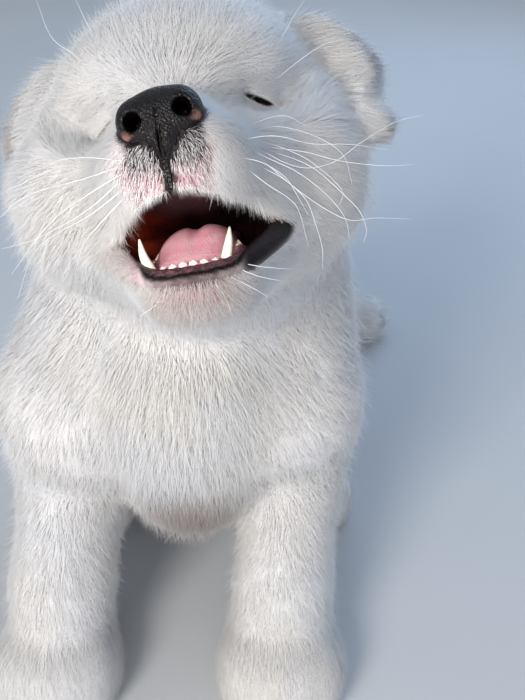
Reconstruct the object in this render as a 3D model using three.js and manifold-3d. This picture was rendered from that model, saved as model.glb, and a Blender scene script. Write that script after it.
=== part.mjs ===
// A samoyed puppy of about nine weeks, life size, sitting with its head thrown back and its mouth open.
// Millimetres, +Z up. The puppy faces -Y and its left side is on +X. It sits on the plane z = 0.
// The flesh is one smooth field of named ellipsoids and round cones, each with its depth of coat.
// The field is meshed, parted with thin cuts, and grown over with flat locks out to the coat's tips.
import * as THREE from "three";
import { mergeVertices } from "three/addons/utils/BufferGeometryUtils.js";
import Module from "manifold-3d";

const wasm = await Module();
wasm.setup();

const DEG = Math.PI / 180;
const V = (x, y, z) => new THREE.Vector3(x, y, z);
const mix = (a, b, t) => a + (b - a) * t;

// Driving sizes, over the skin unless they say otherwise.
const GAP = 0.3; // clear space between touching pieces
const BLEND = 4.5; // how softly the forms run into each other
const SHORT_COAT = 9; // a coat up to this depth is wholly inside the smooth solid
const LONG_COAT = 14; // from this depth on, locks make up the outer part
const CORE_SHARE = 0.42; // share of a long coat that the smooth solid under the locks takes
const EYE_MIDDLE = V(0.5, 33.5, 276); // halfway between the eyes
const MUZZLE_UP = 44.4; // degrees that the head is thrown back
const HEAD_TURN = -7.1; // degrees that it turns to its left
const HEAD_TILT = -14.2; // degrees that it leans, its left side higher
const EYE_APART = 22.5; // an eyeball's centre from the middle
const EYE_RADIUS = 9;
const LID = 1.9; // thickness of a lid
const BARE_EYE = [7, 19]; // from the middle of the lids, where the coat starts and where it is full
const LID_SLOPE = 34; // degrees that a closed eye's slit falls towards its outer corner
const EAR_LENGTH = 38;
const CLAW = 9;
const SHORTEST_LOCK = 11; // depth of coat under which none grow
const LOCK_SPACING = 27; // distance between two locks' roots
const LOCK_LENGTH = 2.5; // in depths of coat
const LOCK_WIDTH = 31;
const LOCK_THICK = 4.5;
const LOCK_SUNK = 5; // how deep its root is in the solid
const LOCK_CLEAR = 0.4; // clear space between it and the other parts
const TRIES = 5000; // places that are tried for a root
const REACH = 60; // a form further off than this has no say at a point
const FAR = 700; // size of a cutting block

// The head's own frame: x to its left, y back from the nose, z to its crown.
const headFrame = new THREE.Matrix4()
  .makeRotationFromEuler(new THREE.Euler(-MUZZLE_UP * DEG, HEAD_TILT * DEG, HEAD_TURN * DEG, "ZXY"))
  .setPosition(EYE_MIDDLE);
const toHead = headFrame.clone().invert();
const fromHead = (x, y, z) => V(x, y, z).applyMatrix4(headFrame);
const headWay = (x, y, z) => V(x, y, z).transformDirection(headFrame);

// Distance from a point to an ellipsoid with centre c and radii r.
function ellipsoid(c, r) {
  return (x, y, z) => {
    const a = (x - c[0]) / r[0];
    const b = (y - c[1]) / r[1];
    const d = (z - c[2]) / r[2];
    const k0 = Math.hypot(a, b, d);
    const k1 = Math.hypot(a / r[0], b / r[1], d / r[2]);
    return k1 < 1e-9 ? -Math.min(...r) : (k0 * (k0 - 1)) / k1;
  };
}

// Distance from a point to a cone with round ends, radius ra at a and rb at b.
function cone(a, ra, b, rb) {
  const d = [b[0] - a[0], b[1] - a[1], b[2] - a[2]];
  const length2 = d[0] ** 2 + d[1] ** 2 + d[2] ** 2;
  return (x, y, z) => {
    const p = [x - a[0], y - a[1], z - a[2]];
    const along = (p[0] * d[0] + p[1] * d[1] + p[2] * d[2]) / length2;
    const t = Math.min(1, Math.max(0, along));
    return Math.hypot(p[0] - t * d[0], p[1] - t * d[1], p[2] - t * d[2]) - (ra + t * (rb - ra));
  };
}

// A form of flesh: its shape, its depth of coat and the way its coat lies.
const form = (shape, coat, lie) => ({ shape, coat, lie: V(...lie).normalize() });
const both = (make) => [make(1), make(-1)]; // the left one, then the right one

const HEAD_FORMS = [
  form(ellipsoid([-2, 38, 2], [39, 44, 35]), 15, [0, 1, 0.1]), // cranium
  form(ellipsoid([0, 12, 11], [30, 24, 19]), 9, [0, 0.9, 0.5]), // forehead
  form(cone([0, 2, -13], 16, [0, -41, -21], 10), 1.6, [0, 1, 0.1]), // bridge of the muzzle
  form(ellipsoid([0, 42, -34], [27, 26, 22]), 14, [0, 0.7, -0.7]), // throat
  ...both((s) => form(ellipsoid([s * 20, 2, 9], [12, 10, 7]), 6, [0, 0.8, 0.5])), // brow
  ...both((s) => form(ellipsoid([s * 29 - 4, 24, -20], [19, 26, 21]), 16, [s * 0.5, 0.8, -0.3])), // cheek
  ...both((s) => form(ellipsoid([s * 11, -29, -29], [11.5, 19, 10.5]), 1.4, [s * 0.3, 1, -0.3])), // lip pad
  ...both((s) => form(ellipsoid([s * 17, -5, -27], [14, 18, 14]), 5, [s * 0.5, 1, -0.2])), // muzzle's root
  form(cone([0, 20, -47], 12, [0, -20, -64.5], 6.5), 3, [0, 0.8, -0.6]), // chin and the jaw's keel
  // jaw's side
  ...both((s) => form(cone([s * 22, 24, -38], 12, [s * 9, -19, -63.5], 6.5), 4, [s * 0.5, 0.8, -0.4])),
];

const TRUNK_FORMS = [
  form(cone([3, 68, 228], 36, [-1, 100, 165], 43), 22, [0, 0.25, -1]), // neck
  form(ellipsoid([-2, 98, 152], [47, 50, 58]), 20, [0, 0.6, -0.8]), // withers
  form(cone([-2, 88, 132], 46, [0, 150, 86], 47), 19, [0, 0.75, -0.65]), // ribs
  form(cone([0, 150, 86], 47, [0, 190, 58], 43), 19, [0, 0.75, -0.65]), // loin
  form(ellipsoid([-2, 56, 136], [33, 28, 42]), 24, [0, 0.05, -1]), // breast
  form(ellipsoid([-3, 72, 92], [31, 34, 26]), 22, [0, 0.3, -0.9]), // brisket
  form(ellipsoid([0, 194, 47], [45, 34, 43]), 17, [0, 0.8, -0.6]), // rump
  form(cone([32, 72, 165], 21, [36, 52, 130], 20), 16, [0.3, 0.1, -1]), // left shoulder
  form(cone([-38, 72, 165], 22, [-50, 52, 130], 23), 17, [-0.3, 0.1, -1]), // right shoulder
  form(cone([28, 176, 62], 32, [44, 116, 80], 22), 13, [0.3, 0.7, -0.7]), // left thigh
  form(cone([-34, 176, 62], 32, [-60, 114, 80], 24), 13, [-0.3, 0.7, -0.7]), // right thigh
  form(cone([38, 50, 132], 21, [42, 62, 100], 17), 12, [0.2, 0.3, -1]), // left upper arm
  form(cone([-51, 50, 132], 23, [-60, 60, 100], 19), 16, [-0.2, 0.3, -1]), // right upper arm
  form(cone([42, 60, 98], 17, [37, 17, 42], 13.5), 10, [0.1, 0.2, -1]), // left forearm
  form(cone([-60, 60, 98], 18.5, [-69, 17, 42], 14), 11, [-0.1, 0.2, -1]), // right forearm
  form(cone([46, 110, 74], 19, [50, 158, 22], 11), 9, [0.3, 0.5, -0.8]), // left shank
  form(cone([-62, 110, 74], 20, [-70, 158, 22], 11), 9, [-0.3, 0.5, -0.8]), // right shank
];

// A foot that points to -Y, from its back to the tips of its toes, with its heel's radius.
function footForms(x, back, front, heel) {
  const toe = (i) => {
    const across = (i - 1.5) * 11;
    const ahead = front + 9 + Math.abs(i - 1.5) * 4.5;
    return form(ellipsoid([x + across, ahead, 11], [6.6, 12, 11]), 5, [0, -1, -0.35]);
  };
  return [
    form(cone([x, back - 6, heel], heel, [x, front + 22, 12], 13), 7, [0, -1, -0.4]),
    form(ellipsoid([x, front + 22, 12], [21, 19, 12]), 7, [0, -1, -0.4]),
    ...[0, 1, 2, 3].map(toe),
  ];
}

const FORE_TIPS = -30; // y of the toes' tips
const HIND_TIPS = 80;
const LEFT_FOREPAW = 36;
const RIGHT_FOREPAW = -71;
const LEFT_HINDPAW = 48;
const RIGHT_HINDPAW = -72;
const FEET_FORMS = [
  form(cone([37, 17, 42], 13, [36, 10, 18], 14), 9, [0, -0.4, -1]), // left wrist
  form(cone([-69, 17, 42], 14, [-71, 10, 18], 14), 9, [0, -0.4, -1]), // right wrist
  ...footForms(LEFT_FOREPAW, 22, FORE_TIPS, 12),
  ...footForms(RIGHT_FOREPAW, 22, FORE_TIPS, 12),
  ...footForms(LEFT_HINDPAW, 168, HIND_TIPS, 10),
  ...footForms(RIGHT_HINDPAW, 168, HIND_TIPS, 10),
];

const TAIL_FORMS = [
  form(cone([0, 216, 34], 12, [16, 244, 15], 9), 17, [0.3, 0.8, -0.3]),
  form(cone([16, 244, 15], 9, [48, 262, 13], 7.5), 19, [0.9, 0.4, 0]),
  form(cone([48, 262, 13], 7.5, [92, 260, 11], 5), 17, [1, 0, 0]),
];

const BODY_FORMS = [...TRUNK_FORMS, ...FEET_FORMS, ...TAIL_FORMS];

const MOUTH_ROOF = -35; // the palate's height in the head's frame
const JAW_FRONT = [-31, -60]; // where the lower lip's edge is, y and z
const JAW_RISE = 0.36; // how steeply the floor of the mouth rises towards the throat
const jawFloor = (y) => JAW_FRONT[1] + (y - JAW_FRONT[0]) * JAW_RISE;

// Distance to the open mouth, in the head's frame: under the palate, over the jaw, inside the cheeks.
function mouth(x, y, z) {
  const roof = z - MOUTH_ROOF;
  const floor = (jawFloor(y) - z) / Math.hypot(1, JAW_RISE);
  const plan = (Math.hypot(x / (20 + 7 * Math.exp(-(((y + 4) / 9) ** 2))), (y + 4) / 37) - 1) * 19.5;
  const high = Math.max(roof, floor);
  const soft = 3;
  const h = Math.max(0, soft - Math.abs(high - plan)) / soft;
  return Math.max(high, plan) + h * h * soft * 0.25;
}

// The lips' edges and the gum, from one corner of the mouth to the other, in the head's frame.
const arch = (half) =>
  [...half, ...half.slice(0, -1).reverse().map(([x, y, z]) => [-x, y, z])].map((p) => V(...p));
const UPPER_LIP = arch([[29, -4, -42], [21.5, -22, -39.5], [11.5, -38, -38.5], [0, -44, -37]]);
const LOWER_LIP = arch([[29, -4, -44.5], [20, -20, -54], [12, -28, -59.5], [0, -31, -61]]);
const GUM = arch([[15.5, -2, -49.5], [14.5, -16, -54.5], [10.5, -24.5, -57.5], [0, -27.5, -59]]);

// Adds each form's weight at a point, with its coat and the way that its coat lies.
function weigh(forms, x, y, z, sum) {
  for (const f of forms) {
    const d = f.shape(x, y, z);
    if (d > REACH) continue;
    const w = Math.exp(-d / BLEND);
    sum.w += w;
    sum.coat += w * f.coat;
    sum.lie.addScaledVector(f.lie, w);
  }
}

// Distance to the skin at a point, with the coat's depth and lie there, and how far it is inside the mouth.
// The coat thins out around the eye.
const here = V(0, 0, 0);
function feel(x, y, z) {
  const sum = { w: 0, coat: 0, lie: V(0, 0, 0) };
  const h = here.set(x, y, z).applyMatrix4(toHead);
  weigh(HEAD_FORMS, h.x, h.y, h.z, sum);
  sum.lie.transformDirection(headFrame).multiplyScalar(sum.w);
  weigh(BODY_FORMS, x, y, z, sum);
  if (sum.w < 1e-12) return { d: REACH, coat: 0, lie: sum.lie, cavity: -REACH };
  const eye = Math.hypot(Math.abs(h.x) - EYE_APART, h.y - 4, h.z + 1);
  const bare = Math.min(1, Math.max(0, (eye - BARE_EYE[0]) / (BARE_EYE[1] - BARE_EYE[0])));
  const nearMouth = h.y < 40 && h.z < 10 && h.y > -70;
  const cavity = nearMouth ? -mouth(h.x, h.y, h.z) : -REACH;
  return { d: -BLEND * Math.log(sum.w), coat: (bare * sum.coat) / sum.w, lie: sum.lie.normalize(), cavity };
}

// How far a surface is out from the skin: t is 0 on the solid under the locks and 1 at the coat's tips.
const { smoothstep } = THREE.MathUtils;
const coreDepth = (coat) => coat * mix(1, CORE_SHARE, smoothstep(coat, SHORT_COAT, LONG_COAT));
const depth = (coat, t) => mix(coreDepth(coat), coat, t);
function level(x, y, z, t) {
  const at = feel(x, y, z);
  return Math.max(at.d - depth(at.coat, t), at.cavity);
}

// Meshes the surface where a field is zero, inside a box, on a grid of that cell. A cell that the
// surface crosses gets a vertex for each group of inside corners, at the mean of their crossings.
const CORNERS = Array.from({ length: 8 }, (_, c) => [c & 1, (c >> 1) & 1, (c >> 2) & 1]);
const EDGES = CORNERS.flatMap((_, a) => [1, 2, 4].filter((bit) => !(a & bit)).map((bit) => [a, a | bit]));
function surface(field, low, high, cell) {
  const n = [0, 1, 2].map((i) => Math.ceil((high[i] - low[i]) / cell) + 1);
  const at = (i, j, k) => i + n[0] * (j + n[1] * k);
  const values = new Float64Array(n[0] * n[1] * n[2]);
  const each = (less, visit) => {
    for (let k = 0; k < n[2] - less; k++) {
      for (let j = 0; j < n[1] - less; j++) {
        for (let i = 0; i < n[0] - less; i++) visit(i, j, k);
      }
    }
  };
  each(0, (i, j, k) => {
    const rim = !i || !j || !k || i === n[0] - 1 || j === n[1] - 1 || k === n[2] - 1;
    const v = field(low[0] + i * cell, low[1] + j * cell, low[2] + k * cell);
    values[at(i, j, k)] = rim ? Math.max(v, cell) : v;
  });
  const vertexOf = new Int32Array(values.length * 8).fill(-1); // one for each corner of each cell
  const positions = [];
  each(1, (i, j, k) => {
    const v = CORNERS.map(([a, b, c]) => values[at(i + a, j + b, k + c)]);
    const inside = v.filter((x) => x < 0).length;
    if (!inside || inside === 8) return;
    const group = CORNERS.map((_, c) => c);
    for (let pass = 0; pass < 4; pass++) {
      for (const [a, b] of EDGES) {
        if (v[a] < 0 && v[b] < 0) group[a] = group[b] = Math.min(group[a], group[b]);
      }
    }
    const sums = new Map();
    for (const [a, b] of EDGES) {
      if (v[a] < 0 === v[b] < 0) continue;
      const key = group[v[a] < 0 ? a : b];
      const sum = sums.get(key) ?? [0, 0, 0, 0];
      const t = v[a] / (v[a] - v[b]);
      for (let m = 0; m < 3; m++) sum[m] += CORNERS[a][m] + t * (CORNERS[b][m] - CORNERS[a][m]);
      sum[3]++;
      sums.set(key, sum);
    }
    for (const [key, sum] of sums) {
      for (let c = 0; c < 8; c++) {
        if (v[c] < 0 && group[c] === key) vertexOf[at(i, j, k) * 8 + c] = positions.length / 3;
      }
      positions.push(...[i, j, k].map((g, m) => low[m] + (g + sum[m] / sum[3]) * cell));
    }
  });
  const index = [];
  const step = [at(1, 0, 0), at(0, 1, 0), at(0, 0, 1)];
  each(1, (i, j, k) => {
    const here = at(i, j, k);
    for (let m = 0; m < 3; m++) {
      const inside = values[here] < 0;
      if (inside === values[here + step[m]] < 0) continue;
      const [u, w] = [(m + 1) % 3, (m + 2) % 3];
      const end = inside ? 0 : 1 << m;
      const quad = [[1, 1], [0, 1], [0, 0], [1, 0]].map(([a, b]) => {
        const near = here - a * step[u] - b * step[w];
        return vertexOf[near * 8 + (end | (a << u) | (b << w))];
      });
      if (!inside) quad.reverse();
      index.push(quad[0], quad[1], quad[2], quad[0], quad[2], quad[3]);
    }
  });
  const geometry = new THREE.BufferGeometry();
  geometry.setAttribute("position", new THREE.Float32BufferAttribute(positions, 3));
  geometry.setIndex(index);
  return geometry;
}

// A closed tube through rings of points, with a fan at each end, the last one to the tip if there is one.
function loft(rings, tip) {
  const n = rings[0].length;
  const points = rings.flat();
  const middle = (ring) => ring.reduce((s, p) => s.add(p), V(0, 0, 0)).divideScalar(n);
  points.push(middle(rings[0]), tip ?? middle(rings.at(-1)));
  const first = points.length - 2;
  const last = points.length - 1;
  const base = (rings.length - 1) * n;
  const index = [];
  for (let i = 0; i < n; i++) {
    const j = (i + 1) % n;
    index.push(first, j, i, last, base + i, base + j);
    for (let r = 0; r < rings.length - 1; r++) {
      const a = r * n;
      const b = a + n;
      index.push(a + i, a + j, b + j, a + i, b + j, b + i);
    }
  }
  const geometry = new THREE.BufferGeometry().setFromPoints(points);
  geometry.setIndex(index);
  return geometry;
}

// A closed geometry as a solid for joining and cutting.
function solid(geometry, matrix) {
  const bare = geometry.clone();
  bare.deleteAttribute("normal");
  bare.deleteAttribute("uv");
  if (matrix) bare.applyMatrix4(matrix);
  const merged = mergeVertices(bare, 1e-4);
  const made = new wasm.Manifold(new wasm.Mesh({
    numProp: 3,
    vertProperties: new Float32Array(merged.getAttribute("position").array),
    triVerts: new Uint32Array(merged.index.array),
  }));
  if (made.volume() > 0) return made;
  merged.index.array.reverse();
  return solid(merged);
}

const join = (solids) => solids.reduce((a, b) => a.add(b));

// The largest closed surface of a solid: it drops loose scraps and fills sealed hollows.
function whole(made) {
  const bodies = made.decompose();
  return bodies.reduce((a, b) => (b.volume() > a.volume() ? b : a));
}

// A block that fills the side of a plane that the direction points to, grown past it.
function side(point, direction, grow) {
  const out = direction.clone().normalize();
  const turn = new THREE.Quaternion().setFromUnitVectors(V(0, 0, 1), out);
  const centre = point.clone().addScaledVector(out, FAR / 2 - grow);
  const place = new THREE.Matrix4().compose(centre, turn, V(1, 1, 1));
  return solid(new THREE.BoxGeometry(FAR, FAR, FAR), place);
}

// Regions of space that part the body. Each gives its block, grown by some gap, and says if it holds a point.
const half = (point, out) => ({
  block: (grow) => side(point, out, grow),
  holds: (p) => p.clone().sub(point).dot(out) > 0,
});
const oval = (centre, radii, frame = new THREE.Matrix4()) => ({
  block(grow) {
    const size = V(radii[0] + grow, radii[1] + grow, radii[2] + grow);
    const place = new THREE.Matrix4().compose(V(...centre), new THREE.Quaternion(), size);
    return solid(new THREE.SphereGeometry(1, 12, 8), frame.clone().multiply(place));
  },
  holds: (p) => ellipsoid(centre, radii)(...p.clone().applyMatrix4(frame.clone().invert())) < 0,
});
const all = (...parts) => ({
  block: (grow) => parts.map((r) => r.block(grow)).reduce((a, b) => a.intersect(b)),
  holds: (p) => parts.every((r) => r.holds(p)),
});
const any = (...parts) => ({
  block: (grow) => join(parts.map((r) => r.block(grow))),
  holds: (p) => parts.some((r) => r.holds(p)),
});

const region = {
  ground: half(V(0, 0, 0), V(0, 0, 1)),
  head: half(V(6.6, 74, 212), V(0, -0.46, 0.89)),
  neck: half(V(6, 96, 172), V(0, -0.3, 0.95)),
  muzzle: all(oval([0, -22, -24], [36, 50, 34], headFrame), half(fromHead(0, -10, 0), headWay(0, -1, 0))),
  jaw: all(
    oval([0, -2, -52], [35, 46, 32], headFrame),
    half(fromHead(0, -6, -44.5), headWay(0, 0.23, -0.97)),
    half(fromHead(0, 22, 0), headWay(0, -1, 0)),
  ),
  forefeet: half(V(0, 20, 36), V(0, -0.35, -0.94)),
  hindfeet: half(V(0, 132, 26), V(0, -0.5, -0.86)),
  tail: half(V(0, 222, 40), V(0.2, 0.9, -0.2)),
};
const leftOf = (x) => half(V(x, 0, 0), V(1, 0, 0));
const rightOf = (x) => half(V(x, 0, 0), V(-1, 0, 0));
const front = all(half(V(0, 68, 0), V(0, -1, 0)), half(V(0, 0, 74), V(0, 0, -1)));
const back = half(V(0, 68, 0), V(0, 1, 0));
region.leftArm = all(any(oval([62, 42, 92], [47, 52, 66]), front), leftOf(6));
region.rightArm = all(any(oval([-76, 42, 92], [47, 52, 66]), front), rightOf(-22));
region.leftThigh = all(oval([84, 128, 46], [66, 74, 92]), leftOf(24));
region.rightThigh = all(oval([-92, 128, 46], [66, 74, 92]), rightOf(-36));
region.leftHindfoot = all(region.hindfeet, back, leftOf(20));
region.rightHindfoot = all(region.hindfeet, back, rightOf(-40));

// The parts of the flesh: the regions each is inside and outside of, and the cell that it is meshed with.
const HEAD_BOX = [[-90, -75, 130], [105, 150, 350]];
const BODY_BOX = [[-125, -60, -20], [125, 300, 270]];
const FEET_BOX = [[-125, -60, -10], [125, 200, 70]];
const r = region;
const FLESH = {
  muzzle: { box: HEAD_BOX, cell: 8, inside: [r.head, r.muzzle], outside: [r.jaw] },
  lower_jaw: { box: HEAD_BOX, cell: 8, inside: [r.head, r.jaw], outside: [] },
  head: { box: HEAD_BOX, cell: 12, inside: [r.head], outside: [r.muzzle, r.jaw] },
  neck: { box: BODY_BOX, cell: 22, inside: [r.neck], outside: [r.head] },
  foreleg_left: { box: BODY_BOX, cell: 16, inside: [r.leftArm], outside: [r.neck, r.forefeet] },
  foreleg_right: { box: BODY_BOX, cell: 16, inside: [r.rightArm], outside: [r.neck, r.forefeet] },
  forepaw_left: { box: FEET_BOX, cell: 10, inside: [r.leftArm, r.forefeet], outside: [] },
  forepaw_right: { box: FEET_BOX, cell: 10, inside: [r.rightArm, r.forefeet], outside: [] },
  hindleg_left: { box: BODY_BOX, cell: 16, inside: [r.leftThigh], outside: [r.leftArm, r.leftHindfoot] },
  hindleg_right: { box: BODY_BOX, cell: 16, inside: [r.rightThigh], outside: [r.rightArm, r.rightHindfoot] },
  hindpaw_left: { box: FEET_BOX, cell: 10, inside: [r.leftHindfoot], outside: [r.leftArm] },
  hindpaw_right: { box: FEET_BOX, cell: 10, inside: [r.rightHindfoot], outside: [r.rightArm] },
  torso: {
    box: BODY_BOX, cell: 22, inside: [],
    outside: [
      r.neck, r.leftArm, r.rightArm, r.leftThigh, r.rightThigh, r.leftHindfoot, r.rightHindfoot, r.tail,
    ],
  },
  tail: { box: BODY_BOX, cell: 16, inside: [r.tail], outside: [] },
};
const LEGS = ["foreleg_left", "foreleg_right", "hindleg_left", "hindleg_right"];
const LOCKED = ["head", "neck", ...LEGS, "torso", "tail"];

// The smooth solid of one part, grown all round by some gap. Meshes of one cell are shared.
const meshed = new Map();
function core(name, grow) {
  const { box, cell, inside, outside } = FLESH[name];
  const key = [box[0], cell, grow].join();
  if (!meshed.has(key)) {
    meshed.set(key, solid(surface((x, y, z) => level(x, y, z, 0) - grow, ...box, cell)));
  }
  let made = meshed.get(key).intersect(region.ground.block(0));
  for (const part of inside) made = made.intersect(part.block(grow - GAP / 2));
  for (const part of outside) made = made.subtract(part.block(GAP / 2 - grow));
  return made;
}
const partAt = (p) =>
  Object.keys(FLESH).find((name) => {
    const { inside, outside } = FLESH[name];
    return inside.every((part) => part.holds(p)) && !outside.some((part) => part.holds(p));
  });

// The way out from the body at a point.
function outward(p) {
  const h = 0.5;
  const d = (x, y, z) => level(p.x + x, p.y + y, p.z + z, 0);
  return V(d(h, 0, 0) - d(-h, 0, 0), d(0, h, 0) - d(0, -h, 0), d(0, 0, h) - d(0, 0, -h)).normalize();
}

// Moves a point in or out until it is on the surface of depth t, and then out by lift.
function settle(p, t, lift = 0) {
  for (let i = 0; i < 6; i++) p.addScaledVector(outward(p), lift - level(p.x, p.y, p.z, t));
  return p;
}

// A seeded random number from 0 to 1, the same on every run.
let seed = 11;
function random() {
  seed = (seed * 1664525 + 1013904223) % 4294967296;
  return seed / 4294967296;
}

// Roots spread evenly over the core wherever the coat is long, clear of the floor.
const ROOTS_BOX = [[-105, 10, 7], [100, 290, 330]];
function roots() {
  const found = [];
  const [low, high] = ROOTS_BOX;
  for (let i = 0; i < TRIES; i++) {
    const p = V(...low.map((v, m) => mix(v, high[m], random())));
    if (Math.abs(feel(p.x, p.y, p.z).d) > 40) continue;
    settle(p, 0);
    const at = feel(p.x, p.y, p.z);
    const name = partAt(p);
    const settled = Math.abs(at.d - coreDepth(at.coat)) < 1;
    if (!LOCKED.includes(name) || at.coat < SHORTEST_LOCK || p.z < low[2] || !settled) continue;
    const clear = found.every((other) => other.p.distanceTo(p) > LOCK_SPACING);
    if (clear) found.push({ p, name, bend: random() - 0.5 });
  }
  return found;
}

// A lock: a flat blade with a low ridge that leaves the core at its root, bends with the lie of the coat
// and ends in a tip.
const STATIONS = [[0, 0.75, 1], [0.35, 1, 0.9], [0.7, 0.72, 0.6], [1, 0, 0]]; // along, width, thickness
function lock({ p: root, bend }, grow) {
  const { coat } = feel(root.x, root.y, root.z);
  const p = root.clone();
  const spine = STATIONS.map(([t], k) => {
    const out = outward(p);
    if (k > 0) {
      const { lie } = feel(p.x, p.y, p.z);
      const way = lie.addScaledVector(out, -lie.dot(out)).normalize().applyAxisAngle(out, bend * (0.5 + t));
      p.addScaledVector(way, LOCK_LENGTH * coat * (t - STATIONS[k - 1][0]));
    }
    settle(p, t, k === 0 ? -LOCK_SUNK : 0);
    return p.clone();
  });
  const rings = STATIONS.slice(0, -1).map(([, wide, thick], k) => {
    const along = spine[k + 1].clone().sub(spine[Math.max(0, k - 1)]).normalize();
    const across = along.clone().cross(outward(spine[k])).normalize();
    across.multiplyScalar(wide * LOCK_WIDTH / 2 + grow);
    const up = across.clone().cross(along).normalize();
    const ridge = up.clone().multiplyScalar(thick * LOCK_THICK + 2 * grow);
    return [across, ridge, across.clone().negate()].map((v) => v.add(spine[k]).addScaledVector(up, -grow));
  });
  const tip = spine.at(-1);
  tip.addScaledVector(tip.clone().sub(spine.at(-2)).normalize(), grow * 2);
  return solid(loft(rings, tip));
}

const looks = {
  coat: new THREE.MeshStandardMaterial({ color: 0xece9e4, roughness: 0.95 }),
  face: new THREE.MeshStandardMaterial({ color: 0xe6e0dc, roughness: 0.9 }),
  leather: new THREE.MeshStandardMaterial({ color: 0x26201f, roughness: 0.45 }),
  tongue: new THREE.MeshStandardMaterial({ color: 0xd9788a, roughness: 0.4 }),
  tooth: new THREE.MeshStandardMaterial({ color: 0xf2ecdc, roughness: 0.3 }),
  eye: new THREE.MeshStandardMaterial({ color: 0x1c1412, roughness: 0.1 }),
};

const puppy = new THREE.Group();
function add(name, made, look) {
  const kept = whole(made).getMesh();
  const geometry = new THREE.BufferGeometry();
  geometry.setAttribute("position", new THREE.Float32BufferAttribute(kept.vertProperties, 3));
  geometry.setIndex(new THREE.Uint32BufferAttribute(kept.triVerts, 1));
  const mesh = new THREE.Mesh(geometry, look);
  mesh.name = name;
  puppy.add(mesh);
}

// Nose leather, in the head's frame: a pad with two wings, round nostrils and the groove under them.
const NOSE_BLEND = 1.6;
function noseField(x, y, z) {
  const s = Math.sign(x) || 1;
  const pad = ellipsoid([0, -45.5, -19], [10.8, 8.2, 8.4])(x, y, z);
  const wing = ellipsoid([s * 7, -48, -19.5], [5, 6, 6.2])(x, y, z);
  const lobe = ellipsoid([0, -47.5, -25], [5, 5.2, 5.6])(x, y, z);
  const weight = [pad, wing, lobe].reduce((sum, d) => sum + Math.exp(-d / NOSE_BLEND), 0);
  const hole = cone([s * 5.4, -56, -20.5], 2.7, [s * 8, -46, -19], 1.6)(x, y, z);
  const slit = cone([s * 6.6, -55, -21.5], 1.7, [s * 12.5, -50, -23.5], 1.2)(x, y, z);
  const groove = cone([0, -56.5, -17], 0.8, [0, -53.5, -36], 0.9)(x, y, z);
  return Math.max(-NOSE_BLEND * Math.log(weight), -hole, -slit, -groove);
}
const nose = (grow) =>
  solid(surface((x, y, z) => noseField(x, y, z) - grow, [-18, -62, -40], [18, -32, -6], 2.5), headFrame);

// Tongue, in the head's frame: broad and flat, with a groove along its middle.
function tongueField(x, y, z) {
  const top = cone([0, 20, -41], 11.5, [0, -17, -57], 8.5)(x * 0.78, y, z);
  const groove = cone([0, 24, -28], 1.8, [0, -14, -47.5], 1)(x, y, z);
  const under = jawFloor(y) + 0.9 - z;
  return Math.max(top, under, -groove, z - (MOUTH_ROOF - 3));
}
const tongue = (grow) =>
  solid(surface((x, y, z) => tongueField(x, y, z) - grow, [-20, -32, -66], [20, 34, -26], 4.4), headFrame);

// A tooth or claw: a cone on four sides that stands on z = 0 and leans more and more towards +Y.
function spike(high, thick, lean, place) {
  const rings = [-0.15, 0.5].map((t) => {
    const r = thick * (1 - 0.6 * Math.max(0, t));
    return [0, 1, 2, 3].map((i) => {
      const a = (i / 4) * 2 * Math.PI;
      return V(r * Math.cos(a), lean * Math.max(0, t) ** 2 * high + r * Math.sin(a), t * high);
    });
  });
  return solid(loft(rings, V(0, lean * high, high)), place);
}

// A round bar along a smooth curve through the points.
function bar(points, radius, steps, sides) {
  const curve = new THREE.CatmullRomCurve3(points);
  const rings = Array.from({ length: steps + 1 }, (_, k) => {
    const p = curve.getPointAt(k / steps);
    const t = curve.getTangentAt(k / steps);
    const a = V(0, 0, 1).cross(t).normalize();
    const b = t.clone().cross(a);
    return Array.from({ length: sides }, (_, i) => {
      const turn = (i / sides) * 2 * Math.PI;
      const out = a.clone().multiplyScalar(Math.cos(turn)).addScaledVector(b, Math.sin(turn));
      return out.multiplyScalar(radius).add(p);
    });
  });
  return loft(rings);
}

// The lower gum with six incisors, two canines and the first cheek teeth.
function lowerTeeth(grow) {
  const parts = [solid(bar(GUM, 2.1 + grow, 10, 5), headFrame)];
  const stand = (x, y, z, high, thick, lean) => {
    const place = headFrame.clone().multiply(new THREE.Matrix4().makeTranslation(x, y, z));
    parts.push(spike(high + grow, thick + grow, lean, place));
  };
  for (let i = 0; i < 6; i++) {
    const across = (i - 2.5) * 3.3;
    stand(across, -27.6 + across ** 2 * 0.03, -57.6, 3.2, 1.25, 0.1);
  }
  for (const s of [1, -1]) {
    stand(s * 12, -23.2, -55.6, 9, 1.9, 0.25);
    stand(s * 14.6, -14, -52.6, 3.5, 1.6, 0);
    stand(s * 15.2, -6, -49.6, 4.2, 2, 0);
  }
  return join(parts);
}

const eyeball = (s, grow) =>
  solid(new THREE.SphereGeometry(EYE_RADIUS + grow, 12, 8),
    headFrame.clone().multiply(new THREE.Matrix4().makeTranslation(s * EYE_APART, 9, -1)));

// The slit between the lids falls towards the outer corner of the closed eye.
function slit(s) {
  const place = headFrame.clone()
    .multiply(new THREE.Matrix4().makeTranslation(s * EYE_APART, -4, -0.5))
    .multiply(new THREE.Matrix4().makeRotationY(s * LID_SLOPE * DEG));
  return solid(new THREE.BoxGeometry(13, 20, 1.7), place);
}

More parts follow.
